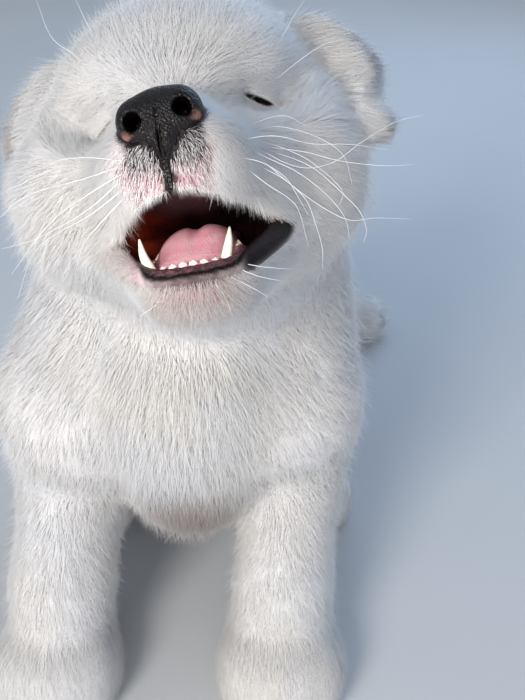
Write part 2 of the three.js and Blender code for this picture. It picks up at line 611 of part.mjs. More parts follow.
// An ear: a cupped leaf, broad at the head, that lops outwards to a soft tip, its hollow facing forward.
function ear(s, grow) {
  const rings = [0, 0.2, 0.4, 0.6, 0.8, 0.93].map((t) => {
    const middle = V(30 + EAR_LENGTH * t, 36 - 11 * t ** 2, 17 - 6 * t - 15 * t ** 2);
    const wide = 18 * (1 - t ** 2) ** 0.6 + 1 + grow;
    const thick = 6.5 - 3 * t + grow;
    const cup = 6 * Math.sin(Math.PI * Math.sqrt(t)) ** 2;
    const slope = (25 + 26 * t) * DEG;
    return Array.from({ length: 12 }, (_, i) => {
      const a = (i / 12) * 2 * Math.PI;
      const across = Math.cos(a) * wide;
      const forward = Math.sin(a) * thick + cup * Math.cos(a) ** 2;
      const p = V(across * Math.sin(slope), -forward, across * Math.cos(slope)).add(middle);
      return p.setX(s * p.x);
    });
  });
  return solid(loft(rings), headFrame);
}

// Four claws of a foot, out of the front of its toes.
function claws(x, front) {
  return [0, 1, 2, 3].map((i) => {
    const out = Math.abs(i - 1.5);
    const place = new THREE.Matrix4().makeRotationX(Math.PI / 2 + 0.25)
      .setPosition(x + (i - 1.5) * 11.5, front - 3 + out * 4.5, 8.5);
    return spike(CLAW, 2, -0.35, place);
  });
}

// What the coated parts must keep clear of: every other part, grown by the clear space.
const grown = {
  nose: nose(GAP),
  tongue: tongue(GAP),
  teeth: lowerTeeth(GAP),
  ears: ear(1, GAP).add(ear(-1, GAP)),
  eyes: eyeball(1, GAP).add(eyeball(-1, GAP)),
};
const made = {};
for (const name of Object.keys(FLESH)) {
  made[name] = core(name, 0);
  grown[name] = core(name, LOCK_CLEAR).add(made[name]);
}
const upperLip = solid(bar(UPPER_LIP, 2.4, 12, 6), headFrame).intersect(region.muzzle.block(-GAP / 2));
const lowerLip = solid(bar(LOWER_LIP, 2.7, 12, 6), headFrame).intersect(region.jaw.block(-GAP / 2));
made.muzzle = made.muzzle.add(upperLip.subtract(region.jaw.block(GAP / 2))).subtract(grown.nose);
made.lower_jaw = made.lower_jaw.add(lowerLip).subtract(grown.teeth).subtract(grown.tongue);
made.head = made.head.add(eyeball(1, LID)).add(eyeball(-1, LID)).subtract(grown.eyes)
  .subtract(slit(1)).subtract(slit(-1)).subtract(grown.ears).subtract(grown.tongue);
for (const [name, x, tips] of [
  ["forepaw_left", LEFT_FOREPAW, FORE_TIPS],
  ["forepaw_right", RIGHT_FOREPAW, FORE_TIPS],
  ["hindpaw_left", LEFT_HINDPAW, HIND_TIPS],
  ["hindpaw_right", RIGHT_HINDPAW, HIND_TIPS],
]) {
  made[name] = join([made[name], ...claws(x, tips)]);
  grown[name] = grown[name].add(made[name]);
}

// Each coated part gets its locks, cut clear of the other parts and of the locks of the parts before it.
const grownLocks = [];
const rooted = roots();
for (const name of LOCKED) {
  const own = rooted.filter((root) => root.name === name);
  let locks = join(own.map((root) => lock(root, 0))).intersect(region.ground.block(0));
  for (const other of Object.keys(grown)) {
    if (other !== name) locks = locks.subtract(grown[other]);
  }
  for (const taken of grownLocks) locks = locks.subtract(taken);
  grownLocks.push(join(own.map((root) => lock(root, LOCK_CLEAR))).add(locks));
  made[name] = made[name].add(locks);
}

const SHORT = ["muzzle", "lower_jaw", "forepaw_left", "forepaw_right", "hindpaw_left", "hindpaw_right"];
for (const name of Object.keys(FLESH)) add(name, made[name], SHORT.includes(name) ? looks.face : looks.coat);
add("nose", nose(0), looks.leather);
add("tongue", tongue(0).subtract(grown.teeth), looks.tongue);
add("lower_teeth", lowerTeeth(0), looks.tooth);
for (const [name, s] of [["left", 1], ["right", -1]]) {
  add("eye_" + name, eyeball(s, 0), looks.eye);
  add("ear_" + name, ear(s, 0), looks.coat);
}

// The origin is moved to the middle of the box under the whole animal.
const box = new THREE.Box3().setFromObject(puppy);
puppy.position.set(-(box.min.x + box.max.x) / 2, -(box.min.y + box.max.y) / 2, -box.min.z);

export default puppy;
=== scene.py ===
# A samoyed puppy of about nine weeks, sitting with its head thrown back and its mouth open.
# Its skin is one meshed field of named forms of flesh, with the dense wool of the coat laid on them.
# Tufts of guard hair grow over it. Eyelids, eyes, nose, mouth, claws, pads and whiskers are pieces of
# their own. Lengths in the making are millimetres in the animal's own frame, and to_scene turns them
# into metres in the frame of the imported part.
import math

import bpy
import numpy as np
from mathutils import Matrix, Vector
from mathutils.kdtree import KDTree


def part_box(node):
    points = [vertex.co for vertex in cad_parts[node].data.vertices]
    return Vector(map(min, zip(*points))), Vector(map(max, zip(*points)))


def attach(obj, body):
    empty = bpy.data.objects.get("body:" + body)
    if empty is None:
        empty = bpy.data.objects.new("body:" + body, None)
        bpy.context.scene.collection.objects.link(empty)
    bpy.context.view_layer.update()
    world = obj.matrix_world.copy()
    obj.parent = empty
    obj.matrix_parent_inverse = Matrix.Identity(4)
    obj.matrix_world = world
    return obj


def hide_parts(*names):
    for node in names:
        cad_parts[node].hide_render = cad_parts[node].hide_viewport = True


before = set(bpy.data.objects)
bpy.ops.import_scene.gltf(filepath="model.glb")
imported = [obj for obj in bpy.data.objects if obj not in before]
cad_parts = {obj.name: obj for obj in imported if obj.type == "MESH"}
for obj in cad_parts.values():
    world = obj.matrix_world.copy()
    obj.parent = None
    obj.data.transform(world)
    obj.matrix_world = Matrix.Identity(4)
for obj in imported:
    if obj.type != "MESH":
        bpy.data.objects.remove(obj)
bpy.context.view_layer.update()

MM = 0.001
BLEND = 4.5  # how softly the forms of flesh run into each other
REACH = 60  # no distance is taken as longer than this
SAY = 30  # a form further off than this has no say at a point
EYE_MIDDLE = (0.5, 33.5, 276)  # halfway between the eyes
MUZZLE_UP = 44.4  # degrees that the head is thrown back
HEAD_TURN = -7.1  # degrees that it turns, below 0 to its right
HEAD_TILT = -14.2  # degrees that it leans, its left side higher
EYE_APART = 22.5  # x of the left eyeball's centre in the head's frame
EYE_BACK = 9  # y of its centre
LEFT_EYE = (EYE_APART, EYE_BACK, -1)
EYE_RADIUS = 9
LID = 1.5  # thickness of the flesh over an eyeball
LID_SLOPE = 28  # degrees that a closed eye's slit falls towards its outer corner
SLIT_MIDDLE = (27, -3.6)  # x and z of the slit's middle
SLIT_LONG = 6.4  # half its length
SLIT = 0.85  # about half the opening between the left eye's lids
SLIT_RIGHT = 0.3  # the right eye's opening as a share of the left one's
LID_REACH = 12  # how far the eyelids' own piece reaches from the slit's middle
WOOL = 0.88  # share of the coat's depth that is dense wool, beyond the first millimetres
BARE_EYE = (7, 25)  # from the middle of the lids, where the coat starts and where it is full
EAR_LENGTH = 28.5
# Low and high corners of boxes in the head's frame, round the lips, the finer forms of the face and the
# thin hair on it.
LIPS = ((-36, -1e3, -72), (36, 6, -28))
FACE = ((-50, -1e3, -85), (50, 60, 30))
THIN_HAIR = ((-50, -1e3, -85), (50, 50, 25))
random = np.random.default_rng(11)


def unit(v):
    return v / np.maximum(np.linalg.norm(v, axis=-1, keepdims=True), 1e-9)


def length(v):
    return np.linalg.norm(v, axis=-1)


def dot(a, b):
    return (a * b).sum(-1)


# From 0 at low to 1 at high, and the other way round.
def smoothstep(x, low, high):
    t = np.clip((x - low) / (high - low), 0, 1)
    return t * t * (3 - 2 * t)


def fade(x, low, high):
    return 1 - smoothstep(x, low, high)


# From 1 at zero to next to nothing at twice the width.
def bell(x, wide):
    return np.exp(-((x / wide) ** 2))


def within(h, box):
    return ((h > box[0]) & (h < box[1])).all(-1)


# Points of the head with those of its right side moved over to the left.
def mirrored(h):
    return np.stack([np.abs(h[..., 0]), h[..., 1], h[..., 2]], -1)


# The head's own frame: x to its left, y back from the nose, z to its crown.
HEAD = np.array(
    Matrix.Rotation(math.radians(HEAD_TURN), 3, "Z")
    @ Matrix.Rotation(math.radians(-MUZZLE_UP), 3, "X")
    @ Matrix.Rotation(math.radians(HEAD_TILT), 3, "Y")
)


def to_head(p):
    return (p - EYE_MIDDLE) @ HEAD


def from_head(h):
    return np.asarray(h, float) @ HEAD.T + EYE_MIDDLE


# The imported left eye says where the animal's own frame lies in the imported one.
low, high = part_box("eye_left")
SHIFT = np.array((low + high) / 2) - from_head(LEFT_EYE) * MM


def to_scene(p):
    return np.asarray(p, float) * MM + SHIFT


# Distance to an ellipsoid from places that are measured in its radii.
def from_ellipsoid(q, radii):
    k0, k1 = length(q), length(q / radii)
    return k0 * (k0 - 1) / np.maximum(k1, 1e-9)


# Shapes of flesh, each a function from points to their distance from its surface, with the ball round it.
def ellipsoid(centre, radii):
    c, r = np.array(centre, float), np.array(radii, float)

    def distance(p):
        return from_ellipsoid((p - c) / r, r)

    distance.ball = c, r.max()
    return distance


def cone(a, ra, b, rb):
    a, b = np.array(a, float), np.array(b, float)
    d = b - a

    def distance(p):
        t = np.clip((p - a) @ d / (d @ d), 0, 1)
        return length(p - a - t[..., None] * d) - (ra + t * (rb - ra))

    distance.ball = (a + b) / 2, length(d) / 2 + max(ra, rb)
    return distance


# An ear is a cupped leaf that lops outwards to a soft tip, its hollow facing forward.
def ear_leaf(s):
    def distance(h):
        x, y, z = s * h[..., 0] - 30, h[..., 1], h[..., 2]
        t = np.clip(x / EAR_LENGTH, 0, 1)
        for _ in range(3):
            slope = np.radians(25 + 26 * t)
            across = (x - EAR_LENGTH * t) * np.sin(slope) + (z - 17 + 6 * t + 15 * t**2) * np.cos(slope)
            along = (x - across * np.sin(slope)) / EAR_LENGTH
            t = np.clip(along, 0, 1)
        wide = 14 * np.maximum(1 - t**2, 0) ** 0.6 + 1
        thick = 4.5 - 2.8 * t
        cup = 6 * np.sin(math.pi * np.sqrt(t)) ** 2
        forward = 36 - 11 * t**2 - y - cup * np.minimum((across / wide) ** 2, 1)
        q = np.stack([across / wide, forward / thick, (along - t) * EAR_LENGTH / thick], -1)
        return from_ellipsoid(q, np.stack([wide, thick, thick], -1))

    distance.ball = np.array([s * 50.0, 30, 8]), 34
    return distance


# Each form of flesh: its shape, its depth of coat, the way that coat lies, and the piece of coat it is in.
HEAD_FORMS = [
    (ellipsoid([-2, 38, 2], [39, 44, 35]), 15, [0, 1, 0.1], "crown"),  # cranium
    (ellipsoid([0, 12, 11], [30, 24, 19]), 9, [0, 0.9, 0.5], "crown"),  # forehead
    (cone([0, 2, -13], 16, [0, -41, -21], 10), 1.6, [0, 1, 0.1], "face"),  # bridge of the muzzle
    (ellipsoid([0, 42, -34], [27, 26, 22]), 14, [0, 0.7, -0.7], "throat"),
    (cone([0, 20, -47], 12, [0, -20, -64.5], 6.5), 3, [0, 0.8, -0.6], "face"),  # chin and the jaw's keel
]
for s, side in ((1, "left"), (-1, "right")):
    HEAD_FORMS += [
        (ellipsoid([s * 20, 2, 9], [12, 10, 7]), 6, [0, 0.8, 0.5], "face"),  # brow
        (ellipsoid([s * 29 - 4, 24, -20], [19, 26, 21]), 16, [s * 0.5, 0.8, -0.3], "cheek_" + side),
        (ellipsoid([s * 11, -29, -29], [11.5, 19, 10.5]), 1.4, [s * 0.4, 0.3, -0.9], "face"),  # lip pad
        (ellipsoid([s * 17, -5, -27], [14, 18, 14]), 4, [s * 0.5, 1, -0.35], "face"),  # muzzle's root
        (cone([s * 22, 24, -38], 12, [s * 9, -19, -63.5], 6.5), 4, [s * 0.5, 0.8, -0.4], "face"),  # jaw
        (ear_leaf(s), 8, [s, 0.1, -0.45], "ear_" + side),
    ]
BODY_FORMS = [
    (cone([3, 68, 228], 36, [-1, 100, 165], 43), 22, [0, 0.25, -1], "neck"),
    (ellipsoid([-2, 98, 152], [47, 50, 58]), 20, [0, 0.6, -0.8], "back"),  # withers
    (cone([-2, 88, 132], 46, [0, 150, 86], 47), 19, [0, 0.75, -0.65], "back"),  # ribs
    (cone([0, 150, 86], 47, [0, 190, 58], 43), 19, [0, 0.75, -0.65], "rump"),  # loin
    (ellipsoid([-2, 56, 136], [33, 28, 42]), 24, [0, 0.05, -1], "chest"),  # breast
    (ellipsoid([-3, 72, 92], [31, 34, 26]), 22, [0, 0.3, -0.9], "chest"),  # brisket
    (ellipsoid([0, 194, 47], [45, 34, 43]), 17, [0, 0.8, -0.6], "rump"),
    (cone([32, 72, 165], 21, [36, 52, 130], 20), 16, [0.3, 0.1, -1], "foreleg_left"),  # shoulder
    (cone([-38, 72, 165], 22, [-50, 52, 130], 23), 17, [-0.3, 0.1, -1], "foreleg_right"),
    (cone([28, 176, 62], 32, [44, 116, 80], 22), 13, [0.3, 0.7, -0.7], "hindleg_left"),  # thigh
    (cone([-34, 176, 62], 32, [-60, 114, 80], 24), 13, [-0.3, 0.7, -0.7], "hindleg_right"),
    (cone([38, 50, 132], 21, [42, 62, 100], 17), 12, [0.2, 0.3, -1], "foreleg_left"),  # upper arm
    (cone([-51, 50, 132], 23, [-60, 60, 100], 19), 16, [-0.2, 0.3, -1], "foreleg_right"),
    (cone([42, 60, 98], 17, [37, 17, 42], 13.5), 10, [0.1, 0.2, -1], "foreleg_left"),  # forearm
    (cone([-60, 60, 98], 18.5, [-69, 17, 42], 14), 11, [-0.1, 0.2, -1], "foreleg_right"),
    (cone([46, 110, 74], 19, [50, 158, 22], 11), 9, [0.3, 0.5, -0.8], "hindleg_left"),  # shank
    (cone([-62, 110, 74], 20, [-70, 158, 22], 11), 9, [-0.3, 0.5, -0.8], "hindleg_right"),
    (cone([37, 17, 42], 13, [36, 10, 18], 14), 9, [0, -0.4, -1], "foreleg_left"),  # wrist
    (cone([-69, 17, 42], 14, [-71, 10, 18], 14), 9, [0, -0.4, -1], "foreleg_right"),
    (cone([0, 216, 34], 12, [16, 244, 15], 9), 17, [0.3, 0.8, -0.3], "tail"),
    (cone([16, 244, 15], 9, [48, 262, 13], 7.5), 19, [0.9, 0.4, 0], "tail"),
    (cone([48, 262, 13], 7.5, [92, 260, 11], 5), 17, [1, 0, 0], "tail"),
]
FORE_TIPS = -30  # y of the toes' tips
HIND_TIPS = 80
TOE_APART = 11
# Each toe's place across its foot, and how far its tip is behind the tips' line.
TOES = [(across, 4.5 * abs(across)) for across in (-1.5, -0.5, 0.5, 1.5)]
# Name, x, y of its back, y of its toes' tips, and radius of its heel.
FEET = [
    ("forepaw_left", 36, 22, FORE_TIPS, 12),
    ("forepaw_right", -71, 22, FORE_TIPS, 12),
    ("hindpaw_left", 48, 168, HIND_TIPS, 10),
    ("hindpaw_right", -72, 168, HIND_TIPS, 10),
]
for name, x, back, tips, heel in FEET:
    BODY_FORMS += [
        (cone([x, back - 6, heel], heel, [x, tips + 22, 12], 13), 9, [0, -1, -0.4], name),
        (ellipsoid([x, tips + 22, 12], [21, 19, 12]), 9, [0, -1, -0.4], name),
    ]
    for across, behind in TOES:
        toe = ellipsoid([x + across * TOE_APART, tips + 9 + behind, 11], [6.6, 12, 11])
        BODY_FORMS.append((toe, 5, [across * 0.15, -1, -0.35], name))
FORMS = [(True, *form) for form in HEAD_FORMS] + [(False, *form) for form in BODY_FORMS]
PLACES = sorted({form[4] for form in FORMS})

MOUTH_ROOF = -35  # the palate's height in the head's frame
JAW_FRONT = (-31, -60)  # where the lower lip's edge is, y and z
JAW_MIDDLE = -1.9  # x of the lower teeth's middle, because the jaw is a little askew
JAW_RISE = 0.36  # how steeply the floor of the mouth rises towards the throat


def jaw_floor(y):
    return JAW_FRONT[1] + (y - JAW_FRONT[0]) * JAW_RISE


# Distance to the open mouth, in the head's frame: under the palate, over the jaw, inside the cheeks.
def mouth(h):
    x, y, z = h[..., 0], h[..., 1], h[..., 2]
    floor = (jaw_floor(y) - z) / math.hypot(1, JAW_RISE)
    cheeks = (np.hypot(x / (20 + 7 * bell(y + 4, 9)), (y + 4) / 37) - 1) * 19.5
    return -blend(-np.maximum(z - MOUTH_ROOF, floor), -cheeks, 3)


# The lips' edges and the gum, from one corner of the mouth to the other, in the head's frame.
def arch(half):
    return np.array(half + [[-x, y, z] for x, y, z in half[-2::-1]], float)


UPPER_LIP = arch([[29, -4, -42], [21.5, -22, -39.5], [11.5, -38, -38.5], [0, -44, -37]])
LOWER_LIP = arch([[29, -4, -44.5], [20, -20, -54], [12, -28, -59.5], [0, -31, -61]])
UPPER_LIP_THICK = 1.9
LOWER_LIP_THICK = 2.6
GUM = arch([[14, -2, -50.8], [13.5, -14, -55.4], [10, -23, -58.2], [0, -26.3, -59.6]]) + [JAW_MIDDLE, 0, 0]


# A smooth curve through points, at places from 0 to 1 along it.
def curve(points, t):
    p = np.vstack([2 * points[0] - points[1], points, 2 * points[-1] - points[-2]])
    at = np.clip(np.asarray(t, float) * (len(points) - 1), 0, len(points) - 1 - 1e-9)
    i = at.astype(int)
    f = (at - i)[:, None]
    a, b, c, d = p[i], p[i + 1], p[i + 2], p[i + 3]
    return 0.5 * (2 * b + (c - a) * f + (2 * a - 5 * b + 4 * c - d) * f**2 + (3 * b - a - 3 * c + d) * f**3)


# Distance to a curve of small steps.
def to_curve(h, points, steps=28):
    c = curve(points, np.linspace(0, 1, steps + 1))
    best = np.full(h.shape[:-1], 1e9)
    for a, b in zip(c[:-1], c[1:]):
        t = np.clip((h - a) @ (b - a) / ((b - a) @ (b - a)), 0, 1)
        best = np.minimum(best, length(h - a - t[..., None] * (b - a)))
    return best


# The smaller of two distances, with the crease between them filled softly.
def blend(a, b, soft):
    near = np.maximum(0, soft - np.abs(a - b)) / soft
    return np.minimum(a, b) - near * near * soft * 0.25


# The lower lip's edge is rolled into a rim that stands up in front of the gum.
def lower_rim(h):
    return to_curve(h, LOWER_LIP + (0, 0.2, 0.9)) - 2.1


# How far a point is from the slit between the lids, in the plane of the closed eye, and how far along it.
def lid_slit(h):
    x, z = np.abs(h[..., 0]) - SLIT_MIDDLE[0], h[..., 2] - SLIT_MIDDLE[1]
    a = math.radians(LID_SLOPE)
    along = x * math.cos(a) - z * math.sin(a)
    off = x * math.sin(a) + z * math.cos(a) + 0.015 * along**2
    return off, along


# Half the opening between the lids at a place along the slit, widest towards its outer corner.
def lid_opening(x, along):
    t = np.clip(along / SLIT_LONG, -1, 1)
    return np.where(x > 0, SLIT, SLIT_RIGHT * SLIT) * (1 + 0.5 * t) * (1 - t**2)


# How far a point of the face is from the nearest slit, along the face.
def slit_gap(h):
    off, along = lid_slit(h)
    return np.hypot(off, np.maximum(np.abs(along) - SLIT_LONG, 0)) + 9 * (h[..., 1] > 14)


# Distance to the bare flesh, with the coat's depth, the way it lies and the place it belongs to.
def feel(p, lying=True):
    h = to_head(p)
    total = np.full(len(p), 1e-12)
    coat = np.zeros(len(p))
    lie = np.zeros((len(p), 3))
    most = np.zeros(len(p))
    place = np.zeros(len(p), int)
    low, high = (p.min(0), p.max(0)) if len(p) else (0, 0)
    for in_head, shape, deep, way, where in FORMS:
        centre, radius = shape.ball
        centre = from_head(centre) if in_head else centre
        if length(centre - np.clip(centre, low, high)) > radius + SAY:
            continue
        w = np.exp(-np.minimum(shape(h if in_head else p), REACH) / BLEND)
        total += w
        coat += w * deep
        if lying:
            way = unit(np.array(way, float))
            lie += w[:, None] * (way @ HEAD.T if in_head else way)
            place[w > most] = PLACES.index(where)
            most = np.maximum(most, w)
    d = -BLEND * np.log(total)
    d = blend(d, length(mirrored(h) - LEFT_EYE) - EYE_RADIUS - LID, 3)
    lips = within(h, LIPS)
    for edge, thick in ((UPPER_LIP, UPPER_LIP_THICK), (LOWER_LIP, LOWER_LIP_THICK)):
        d[lips] = blend(d[lips], to_curve(h[lips], edge, 15) - thick, 2.2)
    from_lids = length(mirrored(h) - (EYE_APART, 4, -1))
    bare = np.clip((from_lids - BARE_EYE[0]) / (BARE_EYE[1] - BARE_EYE[0]), 0, 1)
    coat = bare * coat / total
    if not lying:
        return d, coat
    # Hair parts along the slit between the lids, and fans out to both sides over the crown.
    x, y, z = h[:, 0], h[:, 1], h[:, 2]
    off, along = lid_slit(h)
    side, up = np.where(x > 0, 1, -1), np.sign(off)
    tilt = math.radians(LID_SLOPE)
    away = np.stack([side * math.sin(tilt) * up, 0 * up, math.cos(tilt) * up], -1)
    parting = 2 * bell(slit_gap(h), 3.5) * smoothstep(SLIT_LONG + 3 - np.abs(along), 0, 3)
    fan = np.clip(x / 40, -1, 1) * smoothstep(y, 5, 30) * smoothstep(z, -20, 0) * (y < 80)
    lie = unit(lie) + parting[:, None] * (away @ HEAD.T) + fan[:, None] * HEAD[:, 0]
    return d, coat, unit(lie), place


# Depth of the dense wool in a coat of a depth.
def wool(coat):
    return WOOL * np.maximum(coat - 2.5, 0)


# Distance to a nostril: a round hole that runs back, and its comma that opens to the side.
def nostril(m):
    hole = cone([7.2, -57, -20.8], 2.7, [6.6, -46.5, -19.6], 2.0)(m)
    comma = cone([8.4, -57, -23.4], 2.6, [12.2, -49.5, -24], 1.1)(m)
    return blend(hole, comma, 2.6)


# The nose sits a little rolled in the head.
NOSE_ROLL = np.array(Matrix.Rotation(math.radians(-7), 3, "Y"))
NOSE_MIDDLE = (-0.35, 0, -20.5)


def to_nose(h):
    return (h - NOSE_MIDDLE) @ NOSE_ROLL + (0, 0, NOSE_MIDDLE[2])


# The nose leather: a pad with two wings, comma-shaped nostrils, and a strip that narrows down to the lip.
def nose_hull(h):
    n = to_nose(h)
    pad = ellipsoid([0, -45.5, -19], [10.8, 8.2, 8.4])(n)
    wing = ellipsoid([7, -48, -19.5], [5, 6, 6.2])(mirrored(n))
    lobe = ellipsoid([0, -47.5, -25], [5, 5.2, 5.6])(n)
    strip = cone([-0.9, -48.3, -29], 1.2, [-0.9, -44.8, -39.2], 0.95)(h)
    return -1.2 * np.log(sum(np.exp(-f / 1.2) for f in (pad, wing, lobe, strip)))


# The groove runs on the leather's surface, from between the nostrils down to the lip's edge.
def leather_front(x, z):
    y = -58 + 0.05 * np.arange(300)
    line = np.stack([np.full(300, x), y, np.full(300, z)], -1)
    return y[np.argmax(nose_hull(line) < 0)]


GROOVE_DOWN = ((-0.5, -19), (-0.7, -24), (-0.9, -31), (-0.9, -38.5))  # its x and z
GROOVE = np.array([[x, leather_front(x, z), z] for x, z in GROOVE_DOWN])


def groove(h):
    return to_curve(h, GROOVE, 9) - 0.45 - 0.35 * smoothstep(-h[..., 2], 20, 36)


def nose_field(h):
    d = -blend(-nose_hull(h), nostril(mirrored(to_nose(h))), 1)
    return np.maximum(d, -groove(h))


SOLE = 0.5  # height of the skin over the floor, where the pads stand out of it


# Distance to the skin with the finer forms of the face: the crease and the slit of the lids over the
# eyeball, the open mouth, the rim of the lower lip, and the pocket that the nose sits in.
def fine_skin(p):
    d, coat = feel(p, lying=False)
    d = d - wool(coat)
    h = to_head(p)
    near = within(h, FACE)
    f, e = d[near], h[near]
    off, along = lid_slit(e)
    f = f + 0.9 * bell(off, 1.5) * (np.abs(along) < SLIT_LONG + 3) * (e[:, 1] < EYE_BACK)
    opening = np.maximum(np.abs(off) - lid_opening(e[:, 0], along), e[:, 1] - EYE_BACK)
    f = np.maximum(f, -opening)
    to_ball = EYE_RADIUS - 0.1 - length(mirrored(e) - LEFT_EYE)
    f = np.maximum(f, np.where(np.abs(off) < 3, to_ball, -9))
    f = np.maximum(f, -mouth(e))
    f = blend(f, lower_rim(e), 1.5)
    f = np.maximum(f, -(nose_hull(e) + 0.7))
    d[near] = f
    return np.maximum(d, SOLE - p[:, 2])


# Each eyelid is a small piece of its own, and the skin has a pit under it.
def from_slit(h):
    return length(mirrored(h) - (SLIT_MIDDLE[0], 0, SLIT_MIDDLE[1]))


def skin_field(p):
    return np.maximum(fine_skin(p), LID_REACH - 2 - from_slit(to_head(p)))


def grid(axes):
    return np.stack(np.meshgrid(*axes, indexing="ij"), -1).reshape(-1, 3)


# A field's values on a grid of uneven steps, worked out only in the blocks that its surface may cross.
def sample(field, axes, block=6):
    cuts = [[a[i : i + block + 1] for i in range(0, len(a), block)] for a in axes]
    d = field(grid([np.array([part.mean() for part in cut]) for cut in cuts]))
    spread = length(grid([np.array([np.ptp(part) / 2 for part in cut]) for cut in cuts]))
    shape = [len(cut) for cut in cuts]
    active = (np.abs(d) < 1.2 * spread + 4).reshape(shape)
    index = np.ix_(*[np.arange(len(a)) // block for a in axes])
    values = np.where(d > 0, 99.0, -99.0).reshape(shape)[index]
    wanted = active[index]
    at = np.argwhere(wanted)
    points = np.stack([a[at[:, m]] for m, a in enumerate(axes)], -1)
    parts = np.array_split(points, len(points) // 200000 + 1)
    values[wanted] = np.concatenate([field(part) for part in parts])
    return values


# Meshes the surface where a field is zero, with one vertex in each cell of the grid that it crosses.
def surface(field, axes):
    values = sample(field, axes)
    inside = values < 0
    n = [len(a) - 1 for a in axes]

    def corner(a, c):
        return a[tuple(slice(c[m], n[m] + c[m]) for m in range(3))]

    corners = [(i, j, k) for i in (0, 1) for j in (0, 1) for k in (0, 1)]
    count = sum(corner(inside, c).astype(np.int8) for c in corners)
    crossed = (count > 0) & (count < 8)
    cells = np.argwhere(crossed)
    number = np.full(crossed.shape, -1)
    number[crossed] = np.arange(len(cells))
    total, weight = np.zeros((len(cells), 3)), np.zeros(len(cells))
    for a in corners:
        for m in range(3):
            if a[m]:
                continue
            b = tuple(c + (i == m) for i, c in enumerate(a))
            ia, ib = cells + a, cells + b
            va, vb = values[tuple(ia.T)], values[tuple(ib.T)]
            cross = (va < 0) != (vb < 0)
            t = np.where(cross, va / np.where(cross, va - vb, 1), 0)
            pa = np.stack([axes[i][ia[:, i]] for i in range(3)], -1)
            pb = np.stack([axes[i][ib[:, i]] for i in range(3)], -1)
            total += cross[:, None] * (pa + t[:, None] * (pb - pa))
            weight += cross
    quads = []
    for m in range(3):
        u, w = (m + 1) % 3, (m + 2) % 3
        core = [slice(1, None)] * 3
        core[m] = slice(0, None)
        first = inside[tuple(slice(0, n[i]) for i in range(3))]
        second = inside[tuple(slice(int(i == m), n[i] + int(i == m)) for i in range(3))]
        at = np.argwhere(first != second)
        at = at[(at[:, u] > 0) & (at[:, w] > 0)]
        step_u, step_w = np.eye(3, dtype=int)[u], np.eye(3, dtype=int)[w]
        around = [at - a * step_u - b * step_w for a, b in ((1, 1), (0, 1), (0, 0), (1, 0))]
        quad = np.stack([number[tuple(cell.T)] for cell in around], 1)
        flip = ~inside[tuple(at.T)]
        quad[flip] = quad[flip][:, ::-1]
        quads.append(quad)
    return total / weight[:, None], np.vstack(quads)


# Steps along one axis, from stretches of a start, an end and a step.
def steps(*stretches):
    return np.concatenate([np.arange(a, b, step) for a, b, step in stretches])


# A mesh object of its own from arrays in millimetres.
def piece(name, points, faces, material, slot):
    mesh = bpy.data.meshes.new(name)
    sides = faces.shape[1]
    mesh.vertices.add(len(points))
    mesh.vertices.foreach_set("co", to_scene(points).astype(np.float32).ravel())
    mesh.loops.add(faces.size)
    mesh.loops.foreach_set("vertex_index", faces.astype(np.int32).ravel())
    mesh.polygons.add(len(faces))
    mesh.polygons.foreach_set("loop_start", np.arange(0, faces.size, sides, dtype=np.int32))
    mesh.update(calc_edges=True)
    mesh.polygons.foreach_set("use_smooth", np.full(len(faces), True))
    made = bpy.data.objects.new(name, mesh)
    bpy.context.scene.collection.objects.link(made)
    made.data.materials.append(material)
    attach(made, "root")
    return made


# Writes a number for each vertex, which the materials read by its name.
def mark(made, name, values):
    made.data.attributes.new(name, "FLOAT", "POINT").data.foreach_set("value", values.astype(np.float32))


# Materials. Colours are sRGB hex values, and sizes of patterns are millimetres on the animal.
def colour(text):
    parts = [int(text[i : i + 2], 16) / 255 for i in (0, 2, 4)]
    return tuple(c / 12.92 if c <= 0.04045 else ((c + 0.055) / 1.055) ** 2.4 for c in parts) + (1,)


STAIN_AND_SHADE = colour("836C5D")  # brown of the chin's stain and of the painted shade under the chest


def connect(tree, node, inputs):
    for name, value in inputs.items():
        if isinstance(value, bpy.types.NodeSocket):
            tree.links.new(value, node.inputs[name])
        else:
            node.inputs[name].default_value = value


# Adds a node with its settings and links, and gives the output that is wanted.
def add(tree, kind, inputs, out=0, **settings):
    made = tree.nodes.new("ShaderNode" + kind)
    for name, value in settings.items():
        setattr(made, name, value)
    connect(tree, made, inputs)
    return made.outputs[out]


# A new material whose shader gets the sockets that dress makes.
def finish(name, dress):
    material = bpy.data.materials.new(name)
    material.use_nodes = True
    tree = material.node_tree
    connect(tree, tree.nodes["Principled BSDF"], dress(tree))
    return material


# How much of a cloudy pattern of a size shows at each place, from 0 to 1.
def clouds(tree, size, low=0.35, high=0.65, stretch=(1, 1, 1)):
    where = add(tree, "Mapping", {"Vector": add(tree, "TexCoord", {}, "Object"), "Scale": stretch})
    cloudy = add(tree, "TexNoise", {"Vector": where, "Scale": 1 / (size * MM), "Detail": 3})
    return add(tree, "MapRange", {"Value": cloudy, "From Min": low, "From Max": high})


# Lays colours over a base, each by its own share.
def layered(tree, base, *layers):
    for share, over in layers:
        base = add(tree, "Mix", {0: share, 6: base, 7: over}, 2, data_type="RGBA")
    return base


